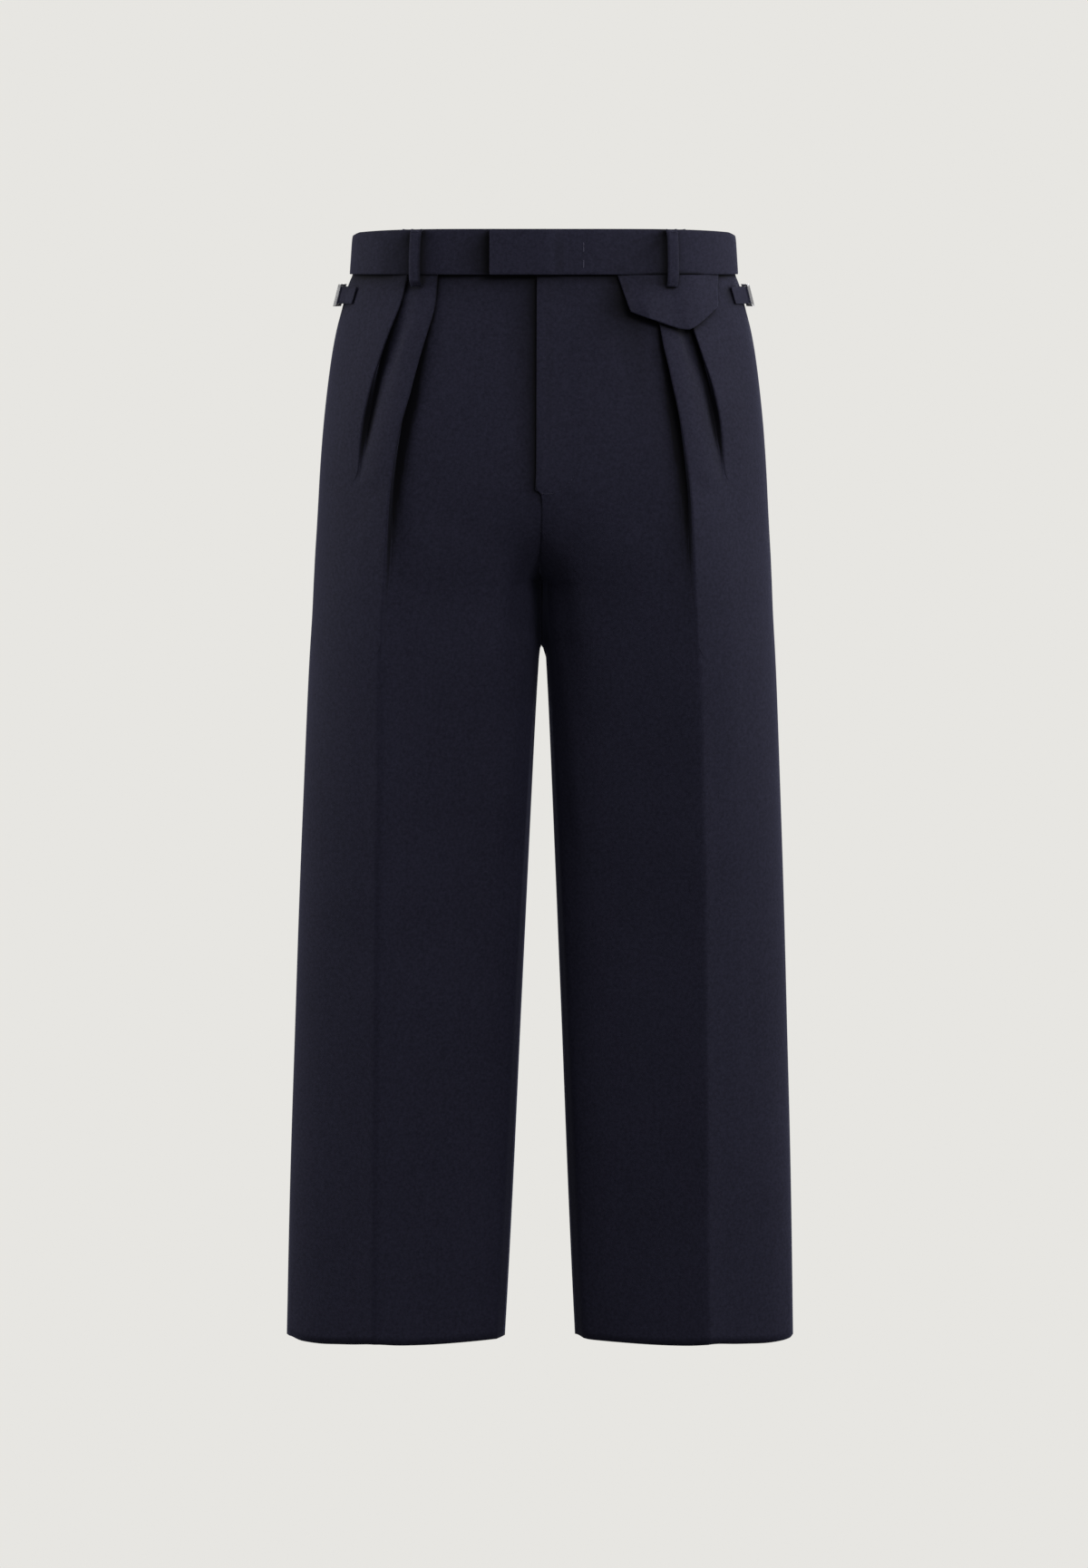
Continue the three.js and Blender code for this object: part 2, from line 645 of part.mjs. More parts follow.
function bandRing(form, length, extraLift) {
  const p = form.at(length);
  const outward = [form.facing * p.heading[1], -form.facing * p.heading[0]];
  const dip = BAND_SIDE_DIP * Math.max(0, p.x / FRONT_FORM[0].side) ** BAND_DIP_POWER;
  const corner = (share, lift) => {
    const z = BAND_BOTTOM + (BAND_TOP - dip - BAND_BOTTOM) * share;
    const out = BAND_STAND_OFF - BAND_TAPER * share + lift + extraLift;
    return [p.x + outward[0] * out, p.y + outward[1] * out, z];
  };
  const half = BAND_WALL / 2;
  const roll = BAND_EDGE_ROLL;
  return [
    corner(0, half),
    corner(0.5, half),
    corner(BAND_ROLL_START, half),
    corner(1, half - roll),
    corner(1, -half + roll),
    corner(BAND_ROLL_START, -half),
    corner(0.5, -half),
    corner(0, -half),
  ];
}

const BAND_BACK_STATIONS = [0, 0.14, 0.28, 0.42, 0.56, 0.68, 0.78, 0.86, 0.93, 1];
const BAND_FRONT_STATIONS = [0.07, 0.14, 0.22, 0.32, 0.44, 0.56, 0.68, 0.78];

function bandRings(endStations, liftAtX) {
  const rings = [];
  const backEnd = bandBack.total;
  BAND_BACK_STATIONS.forEach((f) => {
    rings.push(bandRing(bandBack, backEnd * (1 - f) + (SEAM_GAP / 2) * f, 0));
  });
  BAND_FRONT_STATIONS.forEach((f) => rings.push(bandRing(bandFront, bandFront.total * f, 0)));
  endStations.forEach((x) => {
    const length = bandFront.total + SEAM_GAP / 2 - x;
    rings.push(bandRing(bandFront, length, liftAtX(x)));
  });
  return rings;
}

const tabLift = (x) => TAB_LIFT * ease((TAB_RAMP_START_X - x) / (TAB_RAMP_START_X - TAB_RAMP_END_X));
const TAB_STATIONS = [TAB_RAMP_START_X, 18, 14, 9, TAB_RAMP_END_X, -8, -22, -36, TAB_END_X];
const UNDERLAP_STATIONS = [22, 12, -UNDERLAP_END_X];

// Belt loops stand off the band on the wearer's waist, flat ended at top and bottom.
const LOOP_PATH = [
  [BAND_TOP - 2.2, -0.6],
  [BAND_TOP - 1.0, 2.2],
  [BAND_TOP - 4.0, 4.8],
  [8, 6.1],
  [-8, 6.3],
  [-20, 5.8],
  [-27.5, 4.4],
  [-32.5, 2.4],
];

function beltLoop(isFront, centreX, seat) {
  const bandOuter = (z) => {
    const share = (z - BAND_BOTTOM) / (BAND_TOP - BAND_BOTTOM);
    return BAND_STAND_OFF - BAND_TAPER * share + BAND_WALL / 2;
  };
  return LOOP_PATH.map(([z, lift], i) => {
    const a = LOOP_PATH[Math.max(0, i - 1)];
    const b = LOOP_PATH[Math.min(LOOP_PATH.length - 1, i + 1)];
    const d = Math.hypot(b[0] - a[0], b[1] - a[1]);
    const across = [((b[1] - a[1]) / d) * (LOOP_WALL / 2), (-(b[0] - a[0]) / d) * (LOOP_WALL / 2)];
    const last = i === LOOP_PATH.length - 1;
    const base = (last ? seat : bandOuter(z)) + LAYER_GAP + LOOP_WALL / 2;
    const form = section(Math.min(z, PANEL_TOP), isFront);
    const middle = centreX > 0 ? form.lengthAtX(centreX) : form.total;
    const corner = (side, face) => {
      const at = form.at(middle + (side * LOOP_WIDTH) / 2, base + lift * (last ? 0 : 1) + face * across[1]);
      return [at.x, at.y, z + face * across[0]];
    };
    return [corner(-1, -1), corner(-1, 1), corner(1, 1), corner(1, -1)];
  });
}

// The flap's outline from the photograph's sizes: widths at the top and the lower corners, and
// the drop of its lower edge along its width.
const FLAP_TOP = -21.6;
const FLAP_TOP_X = [68.3, 162.4];
const FLAP_LOW_X = [80.4, 160.7];
const FLAP_DROPS = [-55.7, -58.8, -62.0, -65.2, -68.1, -70.6, -72.5, -72.6, -70.2, -61.5, -51];
const FLAP_REACH = 15;
const FLAP_SEARCH = 8;
const FLAP_STAND = 2.2;
const FLAP_STAND_WIDTH = 0.4;
const FLAP_STAND_AT_TOP = 0.4;
const FLAP_ACROSS = [0, 0.1, 0.21, 0.32, 0.42, 0.51, 0.6, 0.66, 0.73, 0.86, 1];
const FLAP_DOWN = [0, 0.25, 0.5, 0.75, 1];

function flapRow(share) {
  const points = FLAP_ACROSS.map((across, i) => {
    const left = FLAP_TOP_X[0] + (FLAP_LOW_X[0] - FLAP_TOP_X[0]) * share;
    const right = FLAP_TOP_X[1] + (FLAP_LOW_X[1] - FLAP_TOP_X[1]) * share;
    const x = left + (right - left) * across;
    const z = FLAP_TOP + (FLAP_DROPS[i] - FLAP_TOP) * share;
    const form = section(z, true);
    const length = form.lengthAtX(x);
    const heights = [-FLAP_SEARCH, 0, FLAP_SEARCH].map((d) => Math.min(PANEL_TOP, z + d));
    const cover = Math.max(...heights.map((height) => coverLift(height, length, FLAP_REACH)));
    const down = FLAP_STAND_AT_TOP + (1 - FLAP_STAND_AT_TOP) * share;
    const stand = FLAP_STAND * ease(1 - across / FLAP_STAND_WIDTH) * down;
    const p = form.at(length, cover + WALL / 2 + LAYER_GAP + FLAP_WALL / 2 + stand);
    return { place: across, x: p.x, y: p.y, z };
  });
  return { points, z: FLAP_TOP, turn: 0, inPlane: false };
}

function zipRow(z) {
  const form = section(z, true);
  const lift = -(WALL / 2 + LAYER_GAP + ZIP_WALL / 2);
  const points = [1, 0.5, 0, -0.5, -1].map((across) => {
    const p = form.at(form.total - Math.abs(across) * ZIP_HALF_WIDTH, lift);
    return { place: (1 - across) / 2, x: Math.sign(across) * p.x, y: p.y, z };
  });
  return { points, z, turn: 0, inPlane: false };
}

// The adjuster's strap comes from the front, under the frame's front bar and over its middle bar,
// and its tail lies back over the anchor, which folds round the rear bar.
const FRAME_BARS = [
  [FRAME_HALF_SPAN, 9.2],
  [0, 6.6],
  [-FRAME_HALF_SPAN, 4.6],
];
const STRAP_PATH = [
  [36, 1.35], [28, 1.35], [20, 2.2], [14, 4.6], [10, 6.3], [6, 7.0], [2.2, 8.6], [-2, 8.8], [-6, 8.75],
  [-10.5, 8.55], [-14.5, 7.3], [-19, 5.2], [-24, 4.1], [-29, 3.2], [-34, 2.8],
];
const ANCHOR_PATH = [
  [-38, 1.35], [-22, 1.35], [-13, 1.75], [-9.5, 2.2], [-7.6, 3.1], [-7.1, 4.6], [-7.7, 6.2], [-9.5, 6.95],
  [-12, 6.1], [-16, 3.7], [-21, 2.75],
];

const wasm = await Module();
wasm.setup();

function solidOf(geometry) {
  const faced = facedOut(geometry);
  return new wasm.Manifold(
    new wasm.Mesh({
      numProp: 3,
      vertProperties: new Float32Array(faced.attributes.position.array),
      triVerts: new Uint32Array(faced.index.array),
    }),
  );
}

function adjusterFrame(mirror) {
  const half = FRAME_BAR / 2;
  const solids = FRAME_BARS.map(([along, lift]) => {
    const ring = (z) => [
      formPoint(z, along - half, lift - half),
      formPoint(z, along - half, lift + half),
      formPoint(z, along + half, lift + half),
      formPoint(z, along + half, lift - half),
    ];
    return solidOf(barThrough([ring(FRAME_TOP - half), ring(FRAME_BOTTOM + half)], mirror));
  });
  const railPath = [
    [FRAME_HALF_SPAN + half, 9.45],
    [0, 6.6],
    [-FRAME_HALF_SPAN - half, 4.35],
  ];
  const rail = foldedStrap(railPath, FRAME_BAR, FRAME_TOP, FRAME_TOP - FRAME_BAR);
  solids.push(solidOf(barThrough(rail, mirror)));
  solids.push(
    solidOf(barThrough(foldedStrap(railPath, FRAME_BAR, FRAME_BOTTOM + FRAME_BAR, FRAME_BOTTOM), mirror)),
  );
  const joined = wasm.Manifold.union(solids).getMesh();
  const geometry = new THREE.BufferGeometry();
  const positions = new Float32Array(joined.numVert * 3);
  for (let i = 0; i < joined.numVert; i += 1) {
    positions.set(joined.vertProperties.subarray(i * joined.numProp, i * joined.numProp + 3), i * 3);
  }
  geometry.setAttribute("position", new THREE.BufferAttribute(positions, 3));
  geometry.setIndex(Array.from(joined.triVerts));
  return geometry;
}

const frontHeights = [...BOTH_PLEAT_ROWS, ...INNER_PLEAT_ROWS, ...PLAIN_ROWS];
addPart("front_left", clothWall(frontHeights.map((z) => frontRow(z, true)), WALL, 1, -1), WORSTED);
addPart("front_right", clothWall(frontHeights.map((z) => frontRow(z, false)), WALL, -1, -1), WORSTED);
addPart("back_left", clothWall(BACK_ROWS.map(backRow), WALL, 1, 1), WORSTED);
addPart("back_right", clothWall(BACK_ROWS.map(backRow), WALL, -1, 1), WORSTED);
addPart("waistband_left", barThrough(bandRings(TAB_STATIONS, tabLift)), WORSTED);
addPart("waistband_right", barThrough(bandRings(UNDERLAP_STATIONS, () => 0), -1), WORSTED);
addPart("ticket_flap", clothWall(FLAP_DOWN.map(flapRow), FLAP_WALL, 1, -1, false), WORSTED);
addPart("fly_zip", clothWall(ZIP_ROWS.map(zipRow), ZIP_WALL, 1, -1, false), DARK_TAPE);
addPart("belt_loop_front_left", barThrough(beltLoop(true, LOOP_FRONT_X, LOOP_SEAT_FRONT_LEFT)), WORSTED);
addPart(
  "belt_loop_front_right",
  barThrough(beltLoop(true, LOOP_FRONT_X, LOOP_SEAT_FRONT_RIGHT), -1),
  WORSTED,
);
addPart("belt_loop_back_left", barThrough(beltLoop(false, LOOP_BACK_X, LOOP_SEAT_BACK)), WORSTED);
addPart("belt_loop_back_right", barThrough(beltLoop(false, LOOP_BACK_X, LOOP_SEAT_BACK), -1), WORSTED);
addPart("belt_loop_back_centre", barThrough(beltLoop(false, 0, LOOP_SEAT_BACK)), WORSTED);
[["left", 1], ["right", -1]].forEach(([side, mirror]) => {
  addPart(
    `adjuster_strap_${side}`,
    barThrough(foldedStrap(STRAP_PATH, WALL, STRAP_TOP, STRAP_BOTTOM), mirror),
    WORSTED,
  );
  addPart(
    `adjuster_anchor_${side}`,
    barThrough(foldedStrap(ANCHOR_PATH, WALL, STRAP_TOP, STRAP_BOTTOM), mirror),
    WORSTED,
  );
  addPart(`adjuster_frame_${side}`, adjusterFrame(mirror), BUCKLE_METAL);
});

export default group;
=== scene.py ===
# %% [markdown]
# Pleated trousers, filled out as if worn.
# The CAD model gives every piece of cloth its true shape and place. This lesson dresses
# those pieces: it rounds their facets, adds soft folds, cloth, thread and metal, and lights them.
# All lengths are in metres, +Z is up, and the front of the trousers faces -Y.

import math

import bmesh
import bpy
from mathutils import Matrix, Vector, noise
from mathutils.bvhtree import BVHTree


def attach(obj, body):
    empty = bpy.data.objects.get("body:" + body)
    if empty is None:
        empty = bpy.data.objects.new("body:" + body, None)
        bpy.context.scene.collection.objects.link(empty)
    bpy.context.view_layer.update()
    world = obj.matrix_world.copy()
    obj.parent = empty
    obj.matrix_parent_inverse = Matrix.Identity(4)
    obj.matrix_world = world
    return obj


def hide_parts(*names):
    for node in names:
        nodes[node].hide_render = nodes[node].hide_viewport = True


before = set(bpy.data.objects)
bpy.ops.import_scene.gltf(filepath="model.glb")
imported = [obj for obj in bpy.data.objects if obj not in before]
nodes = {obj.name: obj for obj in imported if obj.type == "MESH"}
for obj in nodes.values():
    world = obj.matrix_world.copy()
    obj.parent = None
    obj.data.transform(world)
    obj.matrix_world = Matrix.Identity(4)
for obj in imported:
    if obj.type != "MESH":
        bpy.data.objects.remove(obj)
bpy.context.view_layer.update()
MM = 0.001
BAND_SEAM = -21.2 * MM

# %% [markdown]
# The camera stands about level with the waistband and looks slightly down, because the photograph
# shows the front of each hem lower than its sides. A long lens keeps the legs nearly parallel.

# %% Camera
PHOTO_HEIGHT_PX = 1730
METRES_PER_PX = 0.864 * MM
CAMERA_DISTANCE = 6.7
CAMERA_HEIGHT = 20 * MM
AIM_HEIGHT = -506 * MM
SENSOR = 36

aim = Vector((0, 0, AIM_HEIGHT))
eye = Vector((0, -CAMERA_DISTANCE, CAMERA_HEIGHT))
camera_data = bpy.data.cameras.new("camera")
camera_data.sensor_width = SENSOR
camera_data.lens = SENSOR * (aim - eye).length / (PHOTO_HEIGHT_PX * METRES_PER_PX)
camera_data.clip_end = 100
camera = bpy.data.objects.new("camera", camera_data)
camera.location = eye
camera.rotation_euler = (aim - eye).to_track_quat("-Z", "Y").to_euler()
bpy.context.scene.collection.objects.link(camera)
bpy.context.scene.camera = camera
print("camera lens", round(camera_data.lens, 1), "mm")

# %% [markdown]
# A cloth panel could be draped by a simulation, but these trousers are pressed and hang almost
# smooth. So each panel starts as a copy of its CAD wall: the loose triangles are merged and
# joined back into quads, the wall's rims and the pressed creases are kept sharp, and a
# subdivision surface rounds everything between them.

# %% Copy a CAD wall as smooth cloth
MERGE_WITHIN = 0.005 * MM
JOIN_ANGLE = math.radians(50)
RIM_ANGLE = math.radians(72)
PRESSED_ANGLE = math.radians(22)
PRESSED_FACE = 60 * MM * MM
PRESSED_SHARPNESS = 0.9
CORNER_ANGLE = math.radians(24)


def quads_of(node):
    bm = bmesh.new()
    bm.from_mesh(nodes[node].data)
    bmesh.ops.remove_doubles(bm, verts=bm.verts, dist=MERGE_WITHIN)
    bmesh.ops.join_triangles(
        bm,
        faces=bm.faces,
        angle_face_threshold=JOIN_ANGLE,
        angle_shape_threshold=math.pi,
    )
    return bm


def sharpen(bm, rim):
    """Marks what stays sharp: the rims, the pressed creases and the outline's corners."""
    crease = bm.edges.layers.float.new("crease_edge")
    corner = bm.verts.layers.float.new("crease_vert")
    for edge in bm.edges:
        if len(edge.link_faces) != 2:
            continue
        angle = edge.calc_face_angle(0)
        narrowest = min(face.calc_area() for face in edge.link_faces)
        if angle > RIM_ANGLE:
            edge[crease] = rim
        elif angle > PRESSED_ANGLE and narrowest > PRESSED_FACE:
            edge[crease] = PRESSED_SHARPNESS
    for vertex in bm.verts:
        sharp = [edge for edge in vertex.link_edges if edge[crease] >= rim]
        if len(sharp) == 2:
            run = [(edge.other_vert(vertex).co - vertex.co).normalized() for edge in sharp]
            if math.pi - run[0].angle(run[1]) > CORNER_ANGLE:
                vertex[corner] = 1.0


def finished(bm, name, material, smooth=True):
    mesh = bpy.data.meshes.new(name)
    bm.to_mesh(mesh)
    bm.free()
    mesh.materials.append(material)
    mesh.polygons.foreach_set("use_smooth", [smooth] * len(mesh.polygons))
    piece = bpy.data.objects.new(name, mesh)
    bpy.context.scene.collection.objects.link(piece)
    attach(piece, "root")
    return piece


def rounded(bm, name, material, levels):
    """The bmesh as an object whose subdivision surface has been applied."""
    piece = finished(bm, name, material)
    surface = piece.modifiers.new("round", "SUBSURF")
    surface.levels = levels
    surface.render_levels = levels
    depsgraph = bpy.context.evaluated_depsgraph_get()
    mesh = bpy.data.meshes.new_from_object(piece.evaluated_get(depsgraph))
    piece.modifiers.clear()
    old = piece.data
    piece.data = mesh
    bpy.data.meshes.remove(old)
    mesh.name = name
    return piece


def tree_of(pieces):
    """The pieces as one tree that rays can be cast at."""
    points, faces = [], []
    for piece in pieces:
        start = len(points)
        points.extend(vertex.co.copy() for vertex in piece.data.vertices)
        faces.extend([start + i for i in face.vertices] for face in piece.data.polygons)
    return BVHTree.FromPolygons(points, faces)


# %% [markdown]
# Real cloth is never quite flat. The soft folds below are few and shallow, as the photograph
# shows a pressed pair of trousers: faint drag lines from the fork towards the hips, a slight
# break at the knees, and a softer drape under the seat. Each is a straight trough or ridge with
# a rounded profile, and a slow ripple lies under them all. One field moves all the cloth, so
# the seams stay closed.

# %% Soft folds
# side of the garment (-1 front, 1 back), x and z of each end, half width, depth in millimetres
FOLDS = [
    (-1, 10, -296, 92, -236, 20, -1.0),
    (-1, -10, -298, -98, -242, 21, -1.1),
    (-1, 60, -640, 196, -604, 34, -0.9),
    (-1, -72, -622, -190, -652, 34, -0.8),
    (-1, 84, -716, 176, -730, 28, 0.6),
    (-1, -60, -716, -168, -694, 28, 0.7),
    (1, 14, -300, 118, -344, 19, -2.6),
    (1, -14, -300, -126, -340, 20, -2.4),
    (1, 22, -340, 112, -392, 18, -1.8),
    (1, -20, -342, -108, -398, 19, -2.0),
    (1, 40, -622, 196, -588, 26, -1.8),
    (1, -36, -616, -190, -592, 26, -1.9),
    (1, 52, -668, 200, -646, 24, 1.4),
    (1, -60, -660, -196, -648, 24, 1.2),
]
FOLD_OVERRUN = 0.3
TROUGH_FADE = 0.5
RIPPLE = 0.7 * MM
RIPPLE_ACROSS = 7
RIPPLE_DOWN = 2.4
RIPPLE_SEED = 3.7
RIPPLE_STARTS_BELOW_BAND = 120 * MM
FOLDS_FADE_AT_SIDES = 30 * MM


def ease(value):
    t = min(1.0, max(0.0, value))
    return t * t * (3 - 2 * t)


def fading(value, near, far):
    return 1 - ease((value - near) / (far - near))


def trough(x, z, ends, half, overrun):
    """The share, from 0 to 1, of a straight trough's depth at a point; all in millimetres."""
    start = Vector(ends[:2])
    run = Vector(ends[2:]) - start
    offset = Vector((x, z)) - start
    along = offset.dot(run) / run.length_squared
    if not -overrun < along < 1 + overrun:
        return 0.0
    away = abs(offset.x * run.y - offset.y * run.x) / run.length
    fade = ease((along + overrun) / TROUGH_FADE) * ease((1 + overrun - along) / TROUGH_FADE)
    return math.exp(-((away / half) ** 2)) * fade


def fold_push(point):
    """How far the folds move a point of the cloth outwards, along Y."""
    side_of = -1 if point.y < 0 else 1
    push = 0.0
    for side, *ends, half, depth in FOLDS:
        if side == side_of:
            push += depth * trough(point.x / MM, point.z / MM, ends, half, FOLD_OVERRUN)
    across = Vector((point.x * RIPPLE_ACROSS, side_of * RIPPLE_SEED, point.z * RIPPLE_DOWN))
    hanging = ease((BAND_SEAM - point.z) / RIPPLE_STARTS_BELOW_BAND)
    inward = ease(abs(point.y) / FOLDS_FADE_AT_SIDES)
    return side_of * (push * MM + RIPPLE * noise.noise(across) * hanging) * inward


print("folds:", len(FOLDS))

# %% [markdown]
# Just under the fork the two legs touch. Two smooth walls would leave a slit to look through,
# and a dead straight line between them. So the same field presses the legs together by the
# distance that rays measure between them, and bends the line where they meet, as cloth does.

# %% Press the legs together under the fork
MEET_BEND = 3.4 * MM
MEET_DEPTH = -62 * MM
MEET_REACH = 38 * MM
MEET_TOP = -205 * MM
MEET_LOW = -372 * MM
MEET_FADE = 22 * MM
MEET_WIDTH = 60 * MM
# the inseam line: where it runs, how far it wavers, and where the legs are pressed together
INSEAM_X = -1.3 * MM
INSEAM_Y = 5 * MM
INSEAM_BEND = 1.8 * MM
INSEAM_REACH = 10 * MM
WAVER_STEPS = 3
PRESS_TOP = -300 * MM
PRESS_FULL = -372 * MM
PRESS_LOW = -380 * MM
PRESS_STEP = 4 * MM
PRESS_GAP = 0.1 * MM
PRESS_DEPTH = (8 * MM, 42 * MM)
PRESS_WIDTH = (4 * MM, 30 * MM)
half_gaps = []


def meet_push(point):
    """How far the line where left meets right is bent sideways."""
    height = ease((MEET_TOP - point.z) / MEET_FADE) * ease((point.z - MEET_LOW) / MEET_FADE)
    if height == 0:
        return 0.0
    depth = math.exp(-(((point.y - MEET_DEPTH) / MEET_REACH) ** 2))
    return -MEET_BEND * height * depth * fading(abs(point.x), 0, MEET_WIDTH)


def measure_gap(pieces):
    """Fills half_gaps with half the distance between the legs, height by height."""
    tree = tree_of(pieces)
    z = PRESS_TOP
    while z > PRESS_LOW - PRESS_STEP:
        middle = Vector((INSEAM_X, INSEAM_Y - PRESS_DEPTH[0] / 2, z))
        hits = [tree.ray_cast(middle, Vector((side, 0, 0)), PRESS_WIDTH[0]) for side in (-1, 1)]
        reach = [hit[3] for hit in hits if hit[0] is not None]
        half_gaps.append(max(0.0, sum(reach) / 2 - PRESS_GAP) if len(reach) == 2 else 0.0)
        z -= PRESS_STEP


def press_push(point):
    """How far the legs are pressed together, and wavered, along the top of the inseam."""
    if not PRESS_LOW < point.z < PRESS_TOP:
        return 0.0
    across = point.x - INSEAM_X
    deep = abs(point.y - INSEAM_Y)
    near = fading(abs(across), *PRESS_WIDTH)
    near *= ease((point.z - PRESS_LOW) / (PRESS_FULL - PRESS_LOW))
    place = (PRESS_TOP - point.z) / PRESS_STEP
    i = int(place)
    gap = half_gaps[i] + (half_gaps[i + 1] - half_gaps[i]) * (place - i)
    closed = math.copysign(gap * fading(deep, *PRESS_DEPTH), -across)
    waver = INSEAM_BEND * ease(place / WAVER_STEPS) * math.exp(-((deep / INSEAM_REACH) ** 2))
    return near * (closed - waver)


def fold(piece):
    for vertex in piece.data.vertices:
        point = vertex.co.copy()
        vertex.co += Vector((meet_push(point) + press_push(point), fold_push(point), 0))
    piece.data.update()


# %% [markdown]
# Round the fork the panels turn from the flat front of the hips to the round of each leg. The
# CAD rows make that turn in a few centimetres. Worn cloth spreads it over a hand's width, so
# each point there is moved to the weighted mean depth of the cloth above and below it. The
# lower ends of the inner pleats, which run out into the pressed creases, are evened likewise.

# %% Spread the turn at the fork
SPREAD_HEIGHTS = [-48, -36, -24, -12, 0, 12, 24, 36, 48]
SPREAD_WIDTH = 30
# in millimetres: heights where it begins, is full, is full still and ends, then the same in x
SPREAD_FORK = (-214, -252, -360, -420, 12, 34, 100, 132)
SPREAD_PLEAT_END = (-318, -342, -404, -436, 124, 134, 168, 182)
WALL_DEPTH = 6 * MM
FAR = 0.5


def depth_at(tree, x, z, side):
    hit = tree.ray_cast(Vector((x, side * FAR, z)), Vector((0, -side, 0)))
    return hit[0].y if hit[0] is not None else None


def spread_share(place, x, z):
    top, top_full, low_full, low, inner, inner_full, outer_full, outer = place
    height = fading(-z / MM, -low_full, -low) * (1 - fading(-z / MM, -top, -top_full))
    return height * (1 - fading(x / MM, inner, inner_full)) * fading(x / MM, outer_full, outer)


def spread_turns(piece, side, places):
    """Evens the depth of the cloth by height; side is -1 for the front and 1 for the back."""
    tree = tree_of([piece])
    weights = {step: math.exp(-((step / SPREAD_WIDTH) ** 2)) for step in SPREAD_HEIGHTS}
    moves = {}
    for vertex in piece.data.vertices:
        x, y, z = vertex.co
        share = max(spread_share(place, abs(x), z) for place in places)
        if share == 0 or y * side < 0:
            continue
        here = depth_at(tree, x, z, side)
        if here is None or abs(here - y) > WALL_DEPTH:
            continue
        found = [(depth_at(tree, x, z + step * MM, side), w) for step, w in weights.items()]
        found = [(depth, weight) for depth, weight in found if depth is not None]
        mean = sum(depth * weight for depth, weight in found) / sum(w for _, w in found)
        moves[vertex.index] = share * (mean - here)
    for i, move in moves.items():
        piece.data.vertices[i].co.y += move
    piece.data.update()


# %% [markdown]
# The cloth is a dark navy worsted. Its colour could be one flat value, but a real worsted shows
# a fine twill, a mottle of lighter and darker fibres and a soft bloom where light grazes it.
# The pattern reads the piece's Object coordinates, so it keeps its scale on every panel.

# %% Cloth material
NAVY_DARK = (0.0130, 0.0128, 0.0255, 1)
NAVY_LIGHT = (0.0235, 0.0232, 0.0440, 1)
TWILL_SCALE = 520
TWILL_WAVER = 1.2
TWILL_WAVER_SCALE = 2
# scale and detail of each noise
FIBRE = (900, 3)
MOTTLE = (330, 5)
CLOUD = (9, 2)
MOTTLE_ROUGHNESS = 0.7
CLOUD_SHARE = 0.16
TONE_RANGE = (0.36, 0.64)
FIBRE_RELIEF = 0.8
WEAVE_HEIGHT = 0.12 * MM
WEAVE_STRENGTH = 0.35
SHEEN = 0.12
SHEEN_ROUGHNESS = 0.35
SHEEN_TINT = (0.55, 0.58, 1.0, 1)
CLOTH_ROUGHNESS = 0.78
SPECULAR = 0.12
# the near-black colour painted into the cloth as shade in hollows and beside raised edges
PAINTED_SHADE_COLOUR = (0.0015, 0.0014, 0.003, 1)


def link(tree, a, out, b, into):
    tree.links.new(a.outputs[out], b.inputs[into])


def noise_node(tree, scale, detail):
    texture = tree.nodes.new("ShaderNodeTexNoise")
    texture.inputs["Scale"].default_value = scale
    texture.inputs["Detail"].default_value = detail
    return texture


def math_node(tree, operation, factor):
    step = tree.nodes.new("ShaderNodeMath")
    step.operation = operation
    step.inputs[1].default_value = factor
    return step


def cloth_material(name, dark, light, sheen):
    material = bpy.data.materials.new(name)
    material.use_nodes = True
    tree = material.node_tree
    shader = tree.nodes["Principled BSDF"]
    place = tree.nodes.new("ShaderNodeTexCoord")
    twill = tree.nodes.new("ShaderNodeTexWave")
    twill.bands_direction = "DIAGONAL"
    twill.inputs["Scale"].default_value = TWILL_SCALE
    twill.inputs["Distortion"].default_value = TWILL_WAVER
    twill.inputs["Detail Scale"].default_value = TWILL_WAVER_SCALE
    fibre, mottle, cloud = (noise_node(tree, *kind) for kind in (FIBRE, MOTTLE, CLOUD))
    mottle.inputs["Roughness"].default_value = MOTTLE_ROUGHNESS
    for texture in (twill, fibre, mottle, cloud):
        link(tree, place, "Object", texture, "Vector")
    soft = math_node(tree, "MULTIPLY", CLOUD_SHARE)
    link(tree, cloud, "Fac", soft, 0)
    grain = math_node(tree, "MULTIPLY_ADD", 1 - CLOUD_SHARE)
    link(tree, mottle, "Fac", grain, 0)
    link(tree, soft, "Value", grain, 2)
    tone = tree.nodes.new("ShaderNodeValToRGB")
    for stop, position, colour in zip(tone.color_ramp.elements, TONE_RANGE, (dark, light)):
        stop.position = position
        stop.color = colour
    link(tree, grain, "Value", tone, "Fac")
    # painted shade: the mesh's painted shade value mixes the cloth's colour towards near black
    painted_shade = tree.nodes.new("ShaderNodeAttribute")
    painted_shade.attribute_name = "painted_shade"
    deep = tree.nodes.new("ShaderNodeMix")
    deep.data_type = "RGBA"
    link(tree, painted_shade, "Fac", deep, "Factor")
    tree.links.new(tone.outputs["Color"], deep.inputs["A"])
    deep.inputs["B"].default_value = PAINTED_SHADE_COLOUR
    tree.links.new(deep.outputs["Result"], shader.inputs["Base Color"])
    relief = math_node(tree, "MULTIPLY_ADD", FIBRE_RELIEF)
    link(tree, fibre, "Fac", relief, 0)
    link(tree, twill, "Fac", relief, 2)
    bump = tree.nodes.new("ShaderNodeBump")
    bump.inputs["Strength"].default_value = WEAVE_STRENGTH
    bump.inputs["Distance"].default_value = WEAVE_HEIGHT
    link(tree, relief, "Value", bump, "Height")
    link(tree, bump, "Normal", shader, "Normal")
    shader.inputs["Roughness"].default_value = CLOTH_ROUGHNESS
    shader.inputs["Specular IOR Level"].default_value = SPECULAR
    shader.inputs["Sheen Weight"].default_value = sheen
    shader.inputs["Sheen Roughness"].default_value = SHEEN_ROUGHNESS
    shader.inputs["Sheen Tint"].default_value = SHEEN_TINT
    return material


